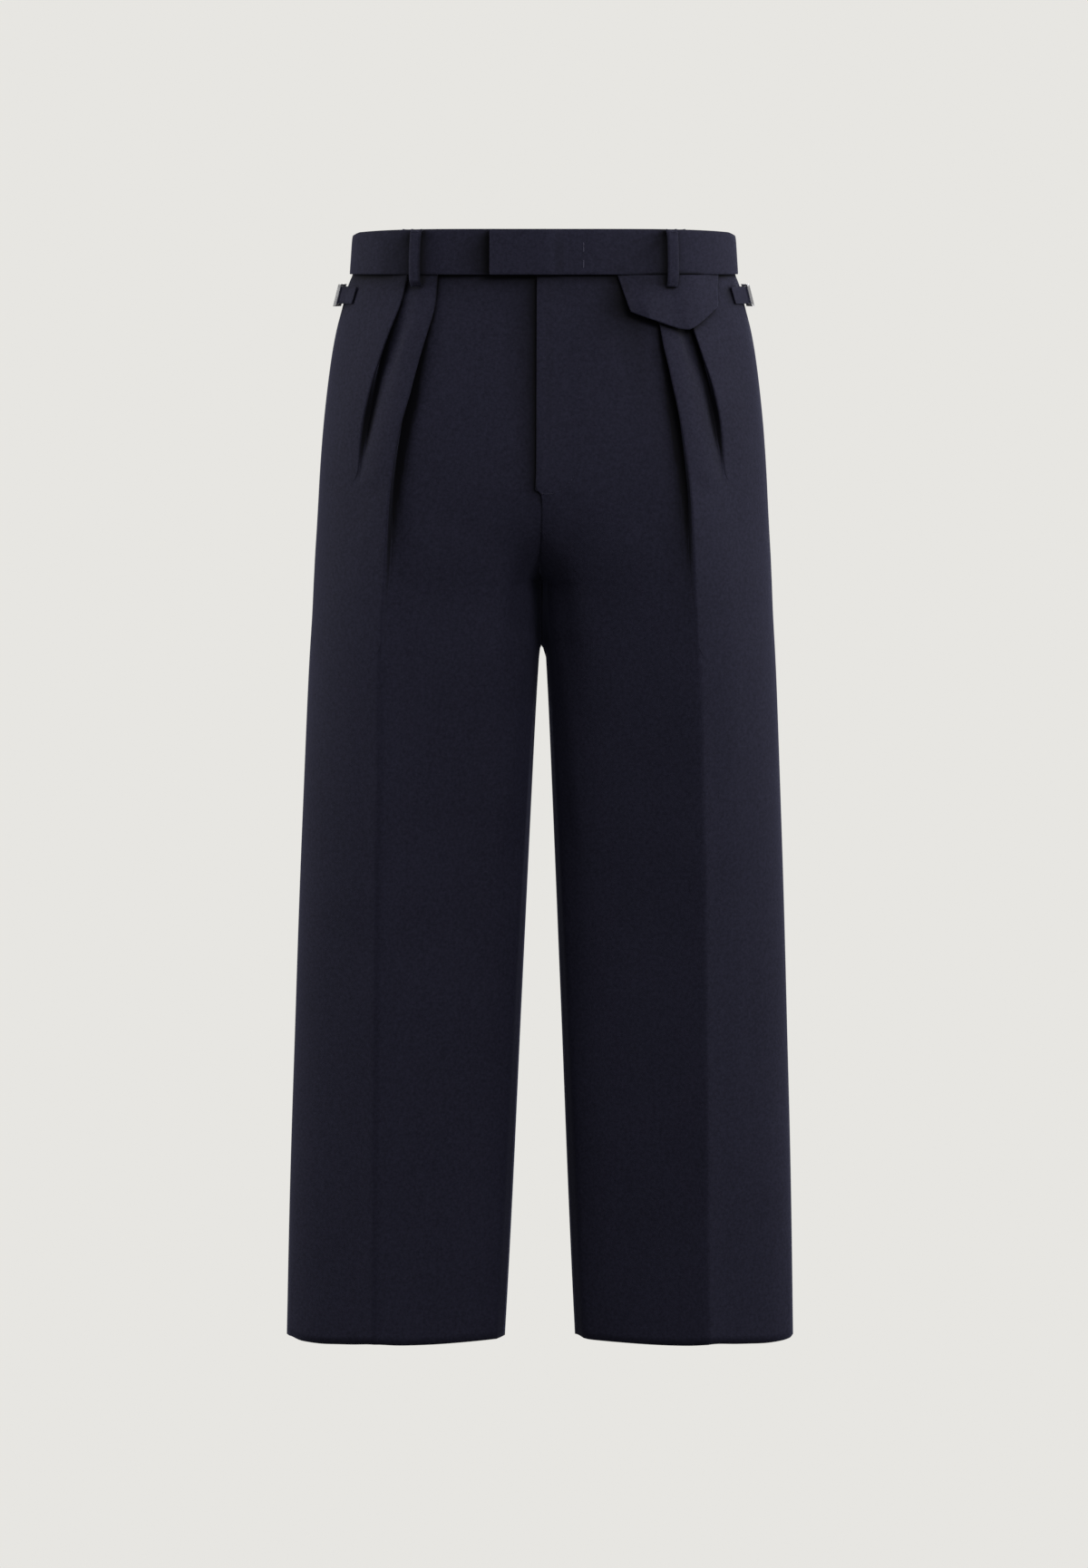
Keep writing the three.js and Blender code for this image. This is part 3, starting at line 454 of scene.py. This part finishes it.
# name, darkest and lightest colour, sheen
CLOTHS = [
    ("navy_worsted", NAVY_DARK, NAVY_LIGHT, SHEEN),
    ("navy_thread", (0.024, 0.023, 0.040, 1), (0.042, 0.040, 0.064, 1), 0.3),
    ("bar_thread", (0.055, 0.053, 0.080, 1), (0.11, 0.105, 0.15, 1), 0.5),
    ("zip_tape", (0.012, 0.012, 0.016, 1), (0.02, 0.02, 0.026, 1), 0.1),
]
worsted, thread, bar_thread, tape = (cloth_material(*kind) for kind in CLOTHS)
print("cloth materials made")

# %% [markdown]
# The side adjusters' frames and the zip's teeth are plated metal with a satin polish. One flat
# roughness would look like plastic, so a fine noise makes it vary a little, as handling does.

# %% Metal material
POLISH_RANGE = (0.252, 0.576)
WEAR = (700, 4)
SILVER_GREY = (0.93, 0.93, 0.95, 1)


def metal_material(name, colour):
    material = bpy.data.materials.new(name)
    material.use_nodes = True
    tree = material.node_tree
    shader = tree.nodes["Principled BSDF"]
    place = tree.nodes.new("ShaderNodeTexCoord")
    wear = noise_node(tree, *WEAR)
    link(tree, place, "Object", wear, "Vector")
    rough = tree.nodes.new("ShaderNodeMapRange")
    rough.inputs["To Min"].default_value, rough.inputs["To Max"].default_value = POLISH_RANGE
    link(tree, wear, "Fac", rough, "Value")
    link(tree, rough, "Result", shader, "Roughness")
    shader.inputs["Base Color"].default_value = colour
    shader.inputs["Metallic"].default_value = 1
    return material


metal = metal_material("buckle_metal", SILVER_GREY)
print("metal material made")

# %% [markdown]
# The pleats and creases of worn trousers never hang quite alike on both legs. This table moves
# the front cloth sideways by a few millimetres towards the middle, so that its lines run where
# the photograph shows them. Nothing moves at the side seams or near the middle.

# %% Draw the pleat and crease lines to their places
# height, inner and outer line, then how far each moves in, on the wearer's right and left
LINES = [
    (-21, 102, 130, 3.0, 4.0, 0.0, 6.0),
    (-60, 106, 141, 3.4, 4.2, 1.0, 8.0),
    (-95, 117, 154, 3.4, 4.2, 4.3, 8.0),
    (-128, 126, 163, 3.0, 3.4, 5.0, 6.4),
    (-165, 134, 171, 0.6, 2.6, 5.2, 5.6),
    (-205, 140, 178, -0.1, 1.6, 5.4, 5.0),
    (-300, 148, 185, -1.0, 0.0, 6.8, 5.0),
    (-374, 153, 190, 0.4, 0.6, 6.2, 4.4),
    (-500, 157, 192, 4.0, 2.8, 7.0, 4.8),
    (-700, 160, 196, 5.0, 3.4, 6.0, 4.2),
    (-900, 162, 198, 5.0, 3.4, 4.5, 3.2),
    (-1038, 162, 198, 5.0, 3.4, 3.2, 2.4),
]
LINE_REACH = 0.48
WIDTH_STEP = 20
SIDE_STILL = 4


def lines_at(z):
    for upper, lower in zip(LINES, LINES[1:]):
        if z >= lower[0]:
            part = ease((upper[0] - z) / (upper[0] - lower[0]))
            return [a + (b - a) * part for a, b in zip(upper, lower)]
    return list(LINES[-1])


def draw_lines(piece, node):
    widest = {}
    for vertex in piece.data.vertices:
        height = round(vertex.co.z / (WIDTH_STEP * MM))
        widest[height] = max(widest.get(height, 0.0), abs(vertex.co.x) / MM)
    for vertex in piece.data.vertices:
        x = abs(vertex.co.x) / MM
        z = vertex.co.z / MM
        _, inner, outer, right_in, right_out, left_in, left_out = lines_at(z)
        at_inner, at_outer = (left_in, left_out) if node == "front_left" else (right_in, right_out)
        side = widest[round(vertex.co.z / (WIDTH_STEP * MM))]
        if x <= inner:
            move = at_inner * ease((x / inner - LINE_REACH) / (1 - LINE_REACH))
        elif x <= outer:
            move = at_inner + (at_outer - at_inner) * ease((x - inner) / (outer - inner))
        else:
            move = at_outer * fading(x, outer, max(side - SIDE_STILL, outer + 1))
        vertex.co.x -= math.copysign(move * MM, vertex.co.x)
    piece.data.update()


# %% [markdown]
# A pressed hem is not cut off square. Its turned edge draws up a little at the side seam and at
# the inseam, and its line stays one soft curve past the crease.

# %% Shape the hems
HEM_TOP = -1000 * MM
HEM_FULL = -1032 * MM
# x and half width of each lift or drop of the hem line, and how much, in millimetres
HEM_CURVE = [(162, 16, 1.8), (108, 40, -1.3), (212, 16, -1.0), (243, 7, 2.6), (32, 6, 2.2)]


def shape_hem(piece):
    for vertex in piece.data.vertices:
        near = ease((HEM_TOP - vertex.co.z) / (HEM_TOP - HEM_FULL))
        if near == 0:
            continue
        x = abs(vertex.co.x) / MM
        lifts = [h * math.exp(-(((x - place) / half) ** 2)) for place, half, h in HEM_CURVE]
        vertex.co.z += near * sum(lifts) * MM
    piece.data.update()


# %% [markdown]
# The four panels carry the shape of the trousers: two fronts with their pleats and two plain
# backs. The size of each cut, pleats opened out, is listed with them. Their top edges run a little
# way up inside the waistband, as sewn cloth does, so no light shows at the seam.

# %% Panels
CRISP_EDGE = 1.0
PANEL_LEVELS = 2
SEAM_RISE = 1.2 * MM
SEAM_RIM = 0.5 * MM


def close_seam(piece):
    """Carries the panel's top edge up inside the waistband."""
    top = max(vertex.co.z for vertex in piece.data.vertices)
    for vertex in piece.data.vertices:
        vertex.co.z += SEAM_RISE * ease(1 - (top - vertex.co.z) / SEAM_RIM)
    piece.data.update()


# width and length of the cut, and its area in square metres
PANEL_CUTS = {
    "front_left": ((0.370, 1.070), 0.300),
    "front_right": ((0.370, 1.070), 0.298),
    "back_left": ((0.380, 1.090), 0.290),
    "back_right": ((0.380, 1.090), 0.290),
}

cloth = {}
for node, (flat, area) in PANEL_CUTS.items():
    bm = quads_of(node)
    sharpen(bm, rim=CRISP_EDGE)
    piece = rounded(bm, node + "_cloth", worsted, PANEL_LEVELS)
    if node.startswith("front"):
        spread_turns(piece, -1, [SPREAD_FORK, SPREAD_PLEAT_END])
        draw_lines(piece, node)
    else:
        spread_turns(piece, 1, [SPREAD_FORK])
    shape_hem(piece)
    close_seam(piece)
    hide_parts(node)
    cloth[node] = piece
    print(piece.name, len(piece.data.polygons), "faces")
measure_gap(cloth.values())
for piece in cloth.values():
    fold(piece)
print("legs pressed together by up to", round(max(half_gaps) / MM, 1), "mm")

# %% [markdown]
# The ticket-pocket flap is sewn down along its top only, so its free corner stands off and throws
# a shade, and small wrinkles run from its seam. The band's top edge drops softly at the sides,
# where the cloth turns away. Both are moves of a few tenths of a millimetre to a few millimetres,
# so the points are moved by rounded profiles, with no sculpting.

# %% Shape the flap and the band
# the corner that stands off: x, z, how far and how wide, in millimetres
FLAP_CORNER = (82, -56, 3.6, 34)
FLAP_TOP = (-30, -48)
FLAP_PRESSED = (138, 158)
FLAP_PRESSED_BY = 0.6
WRINKLE_OVERRUN = 0.4
BAND_CORNER = (173 * MM, 184 * MM)
BAND_CORNER_TOP = (8 * MM, 21 * MM)
BAND_CORNER_DROP = 3.4 * MM
# x and z of both ends, half width and height in millimetres
FLAP_WRINKLES = [
    (134, -34, 146, -27, 3.0, 0.30),
    (128, -42, 149, -31, 3.4, 0.34),
    (133, -51, 152, -38, 3.2, 0.28),
    (104, -33, 120, -36, 3.6, 0.18),
    (96, -44, 112, -49, 4.0, 0.16),
]


def lift_flap(piece):
    """Stands the flap's free corner off the body and gives it a few soft wrinkles."""
    corner_x, corner_z, stand, wide = FLAP_CORNER
    for vertex in piece.data.vertices:
        x, _, z = vertex.co / MM
        away = math.hypot(x - corner_x, z - corner_z)
        free = 1 - fading(-z, -FLAP_TOP[0], -FLAP_TOP[1])
        lift = stand * math.exp(-((away / wide) ** 2)) * free
        lift -= FLAP_PRESSED_BY * (1 - fading(x, *FLAP_PRESSED))
        for *ends, half, height in FLAP_WRINKLES:
            lift += height * trough(x, z, ends, half, WRINKLE_OVERRUN)
        vertex.co.y -= lift * MM
    piece.data.update()


def round_band(piece):
    """Drops the band's top edge softly towards the side seams."""
    for vertex in piece.data.vertices:
        aside = 1 - fading(abs(vertex.co.x), *BAND_CORNER)
        high = 1 - fading(vertex.co.z, *BAND_CORNER_TOP)
        vertex.co.z -= BAND_CORNER_DROP * aside * high
    piece.data.update()


print("flap wrinkles:", len(FLAP_WRINKLES))

# %% [markdown]
# The waistband is a doubled strip with stiffening inside, so it stays smooth and even. Its
# copy is rounded a little along its edges, which is where the turned cloth catches the light.
# The flap's pressed outline stays crisp.

# %% Waistband, flap and belt loops
SOFT_EDGE = 0.75
BAND_LEVELS = 3
# width and length of each cut in metres
TRIM_CUTS = {
    "waistband_left": (0.045, 0.540),
    "waistband_right": (0.045, 0.490),
    "ticket_flap": (0.100, 0.053),
    "belt_loop_front_left": (0.0125, 0.060),
    "belt_loop_front_right": (0.0125, 0.060),
    "belt_loop_back_left": (0.0125, 0.060),
    "belt_loop_back_right": (0.0125, 0.060),
    "belt_loop_back_centre": (0.0125, 0.060),
    "adjuster_strap_left": (0.017, 0.078),
    "adjuster_strap_right": (0.017, 0.078),
    "adjuster_anchor_left": (0.017, 0.055),
    "adjuster_anchor_right": (0.017, 0.055),
}

for node, flat in TRIM_CUTS.items():
    bm = quads_of(node)
    is_flap = node == "ticket_flap"
    is_band = node.startswith("waistband")
    sharpen(bm, rim=CRISP_EDGE if is_flap else SOFT_EDGE)
    levels = BAND_LEVELS if is_flap or is_band else PANEL_LEVELS
    piece = rounded(bm, node + "_cloth", worsted, levels)
    if is_flap:
        lift_flap(piece)
    if is_band:
        round_band(piece)
    fold(piece)
    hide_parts(node)
    cloth[node] = piece
print("trim pieces:", len(TRIM_CUTS))

# %% [markdown]
# The zip's tape is a narrow woven band behind the fly overlap. The adjuster frames are bent wire.
# Their CAD solids already have the true form, so they are kept: they get the metal and a small
# bevel, because a real edge is never perfectly sharp and the bevel is what catches the light.

# %% Zip tape and buckle frames
FRAME_EDGE = 0.35 * MM

bm = quads_of("fly_zip")
sharpen(bm, rim=CRISP_EDGE)
zip_tape = rounded(bm, "fly_zip_tape", tape, 1)
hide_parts("fly_zip")

for node in ("adjuster_frame_left", "adjuster_frame_right"):
    buckle = nodes[node]
    buckle.data.materials.clear()
    buckle.data.materials.append(metal)
    edge = buckle.modifiers.new("soft_edges", "BEVEL")
    edge.width = FRAME_EDGE
    edge.segments = 2
    edge.limit_method = "ANGLE"
print("zip tape and buckle frames dressed")

# %% [markdown]
# Deep narrow places, such as the open pleats and the slots under the flap and the loops, look
# almost black in the photograph, and a long soft shade lies beside each raised edge, on the side
# away from the strongest light. Dark cloth swallows the light that a render would bounce into such
# places, so this shade is painted into the cloth's colour. Each point of the cloth measures two
# things for it with short rays. The first is how much of the space round it is cloth.

# %% Measure a hollow
HOLLOW_REACH = 26 * MM
HOLLOW_START = 0.6 * MM
HOLLOW_RAYS = 56
HOLLOW_FACING = 0.12
FARTHEST_COUNTS = 0.5
GOLDEN_TURN = math.pi * (3 - math.sqrt(5))


def directions(count):
    rays = []
    for i in range(count):
        z = 1 - 2 * (i + 0.5) / count
        radius = math.sqrt(1 - z * z)
        turn = GOLDEN_TURN * i
        rays.append(Vector((radius * math.cos(turn), radius * math.sin(turn), z)))
    return rays


def hollow_at(tree, point, normal, rays):
    start = point + normal * HOLLOW_START
    covered = 0.0
    total = 0.0
    for ray in rays:
        facing = ray.dot(normal)
        if facing < HOLLOW_FACING:
            continue
        total += facing
        hit = tree.ray_cast(start, ray, HOLLOW_REACH)
        if hit[0] is not None:
            covered += facing * (1 - FARTHEST_COUNTS * hit[3] / HOLLOW_REACH)
    return covered / total


hollow_rays = directions(HOLLOW_RAYS)
print("rays for each point:", len(hollow_rays))

# %% [markdown]
# The second is how much cloth stands between the point and a low light from the wearer's left.
# A lamp could cast such shades, but it would have to be small and strong, and would then spoil the
# even light on the rest. A few rays that rise from the cloth towards that side measure the shade
# instead, and it is painted into the cloth's colour.

# %% Measure the shade beside a raised edge
SHADE_TOWARD = Vector((1, 0, 0.30)).normalized()
SHADE_LEAST = 0.3
SHADE_START = 0.3 * MM
SHADE_REACH = 62 * MM
SHADE_LIFTS = [math.radians(angle) for angle in (3, 5, 8, 12, 18, 26, 35, 46)]
SHADE_TURNS = [math.radians(angle) for angle in (-22, 0, 22)]
SHADE_GAIN = 1.3


def shade_at(tree, point, normal):
    """How much of a low light from the wearer's left is kept off the point."""
    level = SHADE_TOWARD - normal * SHADE_TOWARD.dot(normal)
    if level.length < SHADE_LEAST:
        return 0.0
    level.normalize()
    start = point + normal * SHADE_START
    covered = 0.0
    for turn in SHADE_TURNS:
        along = Matrix.Rotation(turn, 3, normal) @ level
        for lift in SHADE_LIFTS:
            ray = along * math.cos(lift) + normal * math.sin(lift)
            hit = tree.ray_cast(start, ray, SHADE_REACH)
            if hit[0] is not None:
                covered += 1 - FARTHEST_COUNTS * hit[3] / SHADE_REACH
    return min(1.0, SHADE_GAIN * covered / (len(SHADE_TURNS) * len(SHADE_LIFTS)))


print("shade rays for each point:", len(SHADE_TURNS) * len(SHADE_LIFTS))

# %% [markdown]
# Both measures become one value for each point, a painted shade that the material darkens the
# cloth's colour with. The fork, the pleats and the adjusters are open or shallow places where the
# photograph shows less of it, so they have their own shares. The value is kept with the mesh, so
# this shade is painted into the cloth and not cast by a lamp.

# %% Paint shade into the hollows and the lee of raised edges
HOLLOW_LOWEST = -430 * MM
HOLLOW_FROM = 0.01
HOLLOW_FULL = (0.44, 0.20)
HOLLOW_HEIGHTS = (-95 * MM, -160 * MM)
HOLLOW_AT_FORK = 0.85
HOLLOW_MOST = 0.97
SHADE_MOST = 0.95
SHADE_AT_FORK = 0.12
SHADE_AT_PLEATS = 0.3
PLEAT_SHADE_TOP = (-24 * MM, -60 * MM)
PLEAT_SHADE_INNER = (84 * MM, 100 * MM)
ADJUSTER_INNER = 164 * MM
ADJUSTER_LOW = -60 * MM
ADJUSTER_TOP = -27 * MM
ADJUSTER_HOLLOW = 0.35
FORK_SHADE_TOP = (-215 * MM, -250 * MM)
FORK_SHADE_WIDTH = (50 * MM, 105 * MM)


def below(z, heights):
    """Grows from 0 at the first height to 1 at the second, lower one."""
    return 1 - fading(-z, -heights[0], -heights[1])


def darkness(tree, point, normal):
    """The painted shade of a point of the cloth, from its hollow and its lee, as one value from 0
    to 1.
    """
    x, z = abs(point.x), point.z
    near_fork = below(z, FORK_SHADE_TOP) * fading(x, *FORK_SHADE_WIDTH)
    on_pleats = below(z, PLEAT_SHADE_TOP) * (1 - fading(x, *PLEAT_SHADE_INNER))
    full = HOLLOW_FULL[0] + (HOLLOW_FULL[1] - HOLLOW_FULL[0]) * below(z, HOLLOW_HEIGHTS)
    full += (HOLLOW_AT_FORK - full) * near_fork
    share = hollow_at(tree, point, normal, hollow_rays)
    # painted shade in the hollows, from the share of cloth round the point
    painted_shade = HOLLOW_MOST * ease((share - HOLLOW_FROM) / (full - HOLLOW_FROM))
    if x > ADJUSTER_INNER and ADJUSTER_LOW < z < ADJUSTER_TOP:
        painted_shade *= ADJUSTER_HOLLOW
    # painted shadow in the lee of raised edges, away from the light
    shade = SHADE_MOST * shade_at(tree, point, normal)
    shade *= 1 - (1 - SHADE_AT_FORK) * near_fork
    shade *= 1 - (1 - SHADE_AT_PLEATS) * on_pleats
    return 1 - (1 - painted_shade) * (1 - shade)


# paints shade: stores each point's painted shade for the material to darken the cloth's colour
# with
def darken(pieces):
    tree = tree_of(pieces)
    for piece in pieces:
        mesh = piece.data
        values = [0.0] * len(mesh.vertices)
        for vertex in mesh.vertices:
            if vertex.co.z >= HOLLOW_LOWEST:
                values[vertex.index] = darkness(tree, vertex.co, vertex.normal)
        layer = mesh.attributes.new("painted_shade", "FLOAT", "POINT")
        layer.data.foreach_set("value", values)


darken(list(cloth.values()))
print("hollows darkened")

# %% [markdown]
# Stitches are small threads on the cloth. A texture could draw them, but real thread stands
# proud and catches light, so each stitch is a stretched ball, laid on the cloth where a ray from
# the front finds it. Where the seam turns, a texture would smear, but rays keep their spacing.

# %% Lay one stitch, a line of them or a bar
STITCH_THICK = 0.32 * MM
STITCH_SINK = 0.05 * MM
STITCH_PITCH = 3.0 * MM
STITCH_LENGTH = 2.2 * MM
BAR_STITCH_STEP = 1.15 * STITCH_THICK


def place_stitch(bm, tree, at, along, length, side):
    """Lays one stitch on the cloth; at and along are in the X Z plane."""
    outward = Vector((0, side, 0))
    start = Vector((at.x, side * FAR, at.y))
    point, normal, _, _ = tree.ray_cast(start, -outward)
    if point is None:
        return
    run = Vector((along.x, 0, along.y))
    run = (run - normal * run.dot(normal)).normalized()
    frame_axes = Matrix((run, normal.cross(run), normal)).transposed().to_4x4()
    size = Matrix.Diagonal((length / 2, STITCH_THICK / 2, STITCH_THICK / 2, 1))
    move = Matrix.Translation(point + normal * (STITCH_THICK / 2 - STITCH_SINK))
    ball = move @ frame_axes @ size
    bmesh.ops.create_uvsphere(bm, u_segments=6, v_segments=4, radius=1, matrix=ball)


def sew(bm, tree, path, side):
    """A running line of stitches along a path of points."""
    left = 0.0
    for a, b in zip(path, path[1:]):
        run = b - a
        ahead = run.normalized()
        while left < run.length:
            place_stitch(bm, tree, a + ahead * left, ahead, STITCH_LENGTH, side)
            left += STITCH_PITCH
        left -= run.length


def sew_bar(bm, tree, a, b, width, side):
    """A bar tack: close stitches set across the line from a to b."""
    run = (b - a).normalized()
    across = Vector((-run.y, run.x))
    count = round((b - a).length / BAR_STITCH_STEP)
    for i in range(count + 1):
        place_stitch(bm, tree, a + (b - a) * (i / count), across, width, side)


def flat_point(x, z):
    return Vector((x, z)) * MM


def middle_x(piece):
    across = [vertex.co.x for vertex in piece.data.vertices]
    return (min(across) + max(across)) / 2


cloth_tree = tree_of(cloth.values())


def sew_bars(bm, bars):
    for x0, z0, x1, z1, width, side in bars:
        sew_bar(bm, cloth_tree, flat_point(x0, z0), flat_point(x1, z1), width * MM, side)


print("stitch thread:", round(STITCH_THICK / MM, 2), "mm thick")

# %% [markdown]
# The fly has a curved line of stitches, which holds it flat, and a bar at its foot, where it
# would tear first. The waistband has two short upright bars beside its tab, and each belt loop
# is tacked at both ends. The bars are close stitches set across their line, as a machine sews.

# %% Stitches
FLY_LINE_X = 33
FLY_LINE_TOP = -25
FLY_LINE_TURN = -188
FLY_LINE_END = (4.3, -225.5)
TURN_STEPS = 14
# start and end of each bar in millimetres, its width, and the side it is seen from
BAND_BARS = [
    (37, 8.6, 37, 0.6, 1.1, -1),
    (37, -7.8, 37, -14.6, 1.1, -1),
]
FLY_BARS = [(-2.6, -225.5, 8.6, -225.5, 1.6, -1)]
LOOP_BARS = (18.6, -30.5)
LOOP_BAR_WIDTH = 1.2
LOOP_BAR_HALF = 3.9

bm = bmesh.new()
line = [flat_point(FLY_LINE_X, FLY_LINE_TOP)]
for i in range(TURN_STEPS + 1):
    turn = math.radians(90) * i / TURN_STEPS
    x = FLY_LINE_END[0] + (FLY_LINE_X - FLY_LINE_END[0]) * math.cos(turn)
    z = FLY_LINE_TURN + (FLY_LINE_END[1] - FLY_LINE_TURN) * math.sin(turn)
    line.append(flat_point(x, z))
sew(bm, cloth_tree, line, -1)
fly_line = finished(bm, "fly_topstitch", thread)

bm = bmesh.new()
sew_bars(bm, BAND_BARS)
finished(bm, "waistband_bars", bar_thread)

bm = bmesh.new()
sew_bars(bm, FLY_BARS)
for node in TRIM_CUTS:
    if node.startswith("belt_loop"):
        x = middle_x(cloth[node]) / MM
        side = -1 if "front" in node else 1
        ends = (x - LOOP_BAR_HALF, x + LOOP_BAR_HALF)
        sew_bars(bm, [(ends[0], z, ends[1], z, LOOP_BAR_WIDTH, side) for z in LOOP_BARS])
bars = finished(bm, "bar_tacks", thread)
print("stitches laid:", len(fly_line.data.polygons) + len(bars.data.polygons), "faces")

# %% [markdown]
# The zip is closed. Its teeth interlock in one straight chain down the middle of the tape, with
# the slider parked at the top, behind the waistband tab. They sit on the face of the tape that
# looks into the trousers, where they can be seen from above.

# %% Zip teeth and slider
TOOTH = Vector((2.6, 0.9, 0.75)) * MM
TOOTH_PITCH = 1.3 * MM
TOOTH_OFFSET = 0.7 * MM
CHAIN_TOP = -36 * MM
CHAIN_FOOT = -208 * MM
TOOTH_OUT = 0.35 * TOOTH.y
SLIDER = Vector((7.5, 2.6, 9.5)) * MM
PULL = Vector((4.6, 1.0, 17)) * MM
PULL_OVERLAP = 2 * MM
SLIDER_EDGE = 0.4 * MM


def add_block(bm, centre, size):
    block = Matrix.Translation(centre) @ Matrix.Diagonal((*size, 1))
    return bmesh.ops.create_cube(bm, size=1, matrix=block)["verts"]


zip_tree = tree_of([zip_tape])
chain_x = middle_x(zip_tape)
bm = bmesh.new()
z = CHAIN_TOP
turn = 1
while z > CHAIN_FOOT:
    hit = zip_tree.ray_cast(Vector((chain_x, 0, z)), Vector((0, -1, 0)))
    if hit[0] is not None:
        add_block(bm, hit[0] + Vector((turn * TOOTH_OFFSET, TOOTH_OUT, 0)), TOOTH)
    z -= TOOTH_PITCH
    turn = -turn
teeth = finished(bm, "zip_teeth", metal, smooth=False)

bm = bmesh.new()
top = zip_tree.ray_cast(Vector((chain_x, 0, CHAIN_TOP)), Vector((0, -1, 0)))[0]
add_block(bm, top + Vector((0, SLIDER.y / 2, 0)), SLIDER)
add_block(bm, top + Vector((0, SLIDER.y + PULL.y / 2, PULL_OVERLAP - PULL.z / 2)), PULL)
bmesh.ops.bevel(
    bm, geom=bm.edges, offset=SLIDER_EDGE, segments=2, profile=0.5, affect="EDGES", material=-1
)
finished(bm, "zip_slider", metal)
print("zip teeth:", len(teeth.data.polygons) // 6)

# %% [markdown]
# The floor is pale and plain and the same tone as the space behind it. Two broad lights at the
# sides make the outer panels lighter than the panels between the creases, weaker ones in front
# keep the fly and the fork readable, and one behind lights the back for the other views.

# %% Floor, world and lights
BACKDROP = (0.80, 0.79, 0.76)
FLOOR_HEIGHT = -1.30
FLOOR_RADIUS = 60
WORLD_LIGHT = 0.2

bm = bmesh.new()
bmesh.ops.create_circle(bm, cap_ends=True, radius=FLOOR_RADIUS, segments=64)
bmesh.ops.translate(bm, verts=bm.verts, vec=(0, 0, FLOOR_HEIGHT))
floor_mesh = bpy.data.meshes.new("floor")
bm.to_mesh(floor_mesh)
bm.free()
floor = bpy.data.objects.new("floor", floor_mesh)
bpy.context.scene.collection.objects.link(floor)


def seen_and_lit(tree, emission_type, target):
    """An even tone to the eye that lights the scene more weakly."""
    ray = tree.nodes.new("ShaderNodeLightPath")
    bright = tree.nodes.new(emission_type)
    bright.inputs["Color"].default_value = (*BACKDROP, 1)
    dim = tree.nodes.new(emission_type)
    dim.inputs["Color"].default_value = (*BACKDROP, 1)
    dim.inputs["Strength"].default_value = WORLD_LIGHT
    mix = tree.nodes.new("ShaderNodeMixShader")
    tree.links.new(ray.outputs["Is Camera Ray"], mix.inputs[0])
    tree.links.new(dim.outputs[0], mix.inputs[1])
    tree.links.new(bright.outputs[0], mix.inputs[2])
    tree.links.new(mix.outputs[0], target.inputs["Surface"])


floor_look = bpy.data.materials.new("floor_tone")
floor_look.use_nodes = True
floor_tree = floor_look.node_tree
floor_tree.nodes.remove(floor_tree.nodes["Principled BSDF"])
seen_and_lit(floor_tree, "ShaderNodeEmission", floor_tree.nodes["Material Output"])
floor_mesh.materials.append(floor_look)

world = bpy.data.worlds.new("studio")
world.use_nodes = True
bpy.context.scene.world = world
seen_and_lit(world.node_tree, "ShaderNodeBackground", world.node_tree.nodes["World Output"])

# name, place, size, power, aimed at
LIGHTS = [
    ("left_softbox", (-2.5, 0.05, 0.4), (1.5, 2.0), 41, (0, 0, -0.5)),
    ("right_softbox", (2.5, 0.05, 0.4), (1.5, 2.0), 41, (0, 0, -0.5)),
    ("right_key", (2.3, -2.4, 1.5), (0.8, 0.8), 24, (0, 0, -0.1)),
    ("near_key", (0.9, -1.7, 1.0), (0.7, 0.7), 9.5, (0.05, 0, -0.05)),
    ("front_fill", (0.0, -3.4, 1.2), (2.4, 1.8), 8, (0, 0, -0.3)),
    ("top_light", (0, -0.8, 2.4), (2.2, 1.2), 10, (0, 0, -0.2)),
    ("back_fill", (0.3, 2.9, 1.7), (2.2, 1.4), 62, (0, 0, -0.4)),
]
for name, place, size, power, target in LIGHTS:
    light = bpy.data.lights.new(name, "AREA")
    light.shape = "RECTANGLE"
    light.size, light.size_y = size
    light.energy = power
    lamp = bpy.data.objects.new(name, light)
    lamp.location = place
    lamp.rotation_euler = (Vector(target) - Vector(place)).to_track_quat("-Z", "Y").to_euler()
    bpy.context.scene.collection.objects.link(lamp)
bpy.context.scene.view_settings.view_transform = "Standard"
print("lights:", len(LIGHTS))
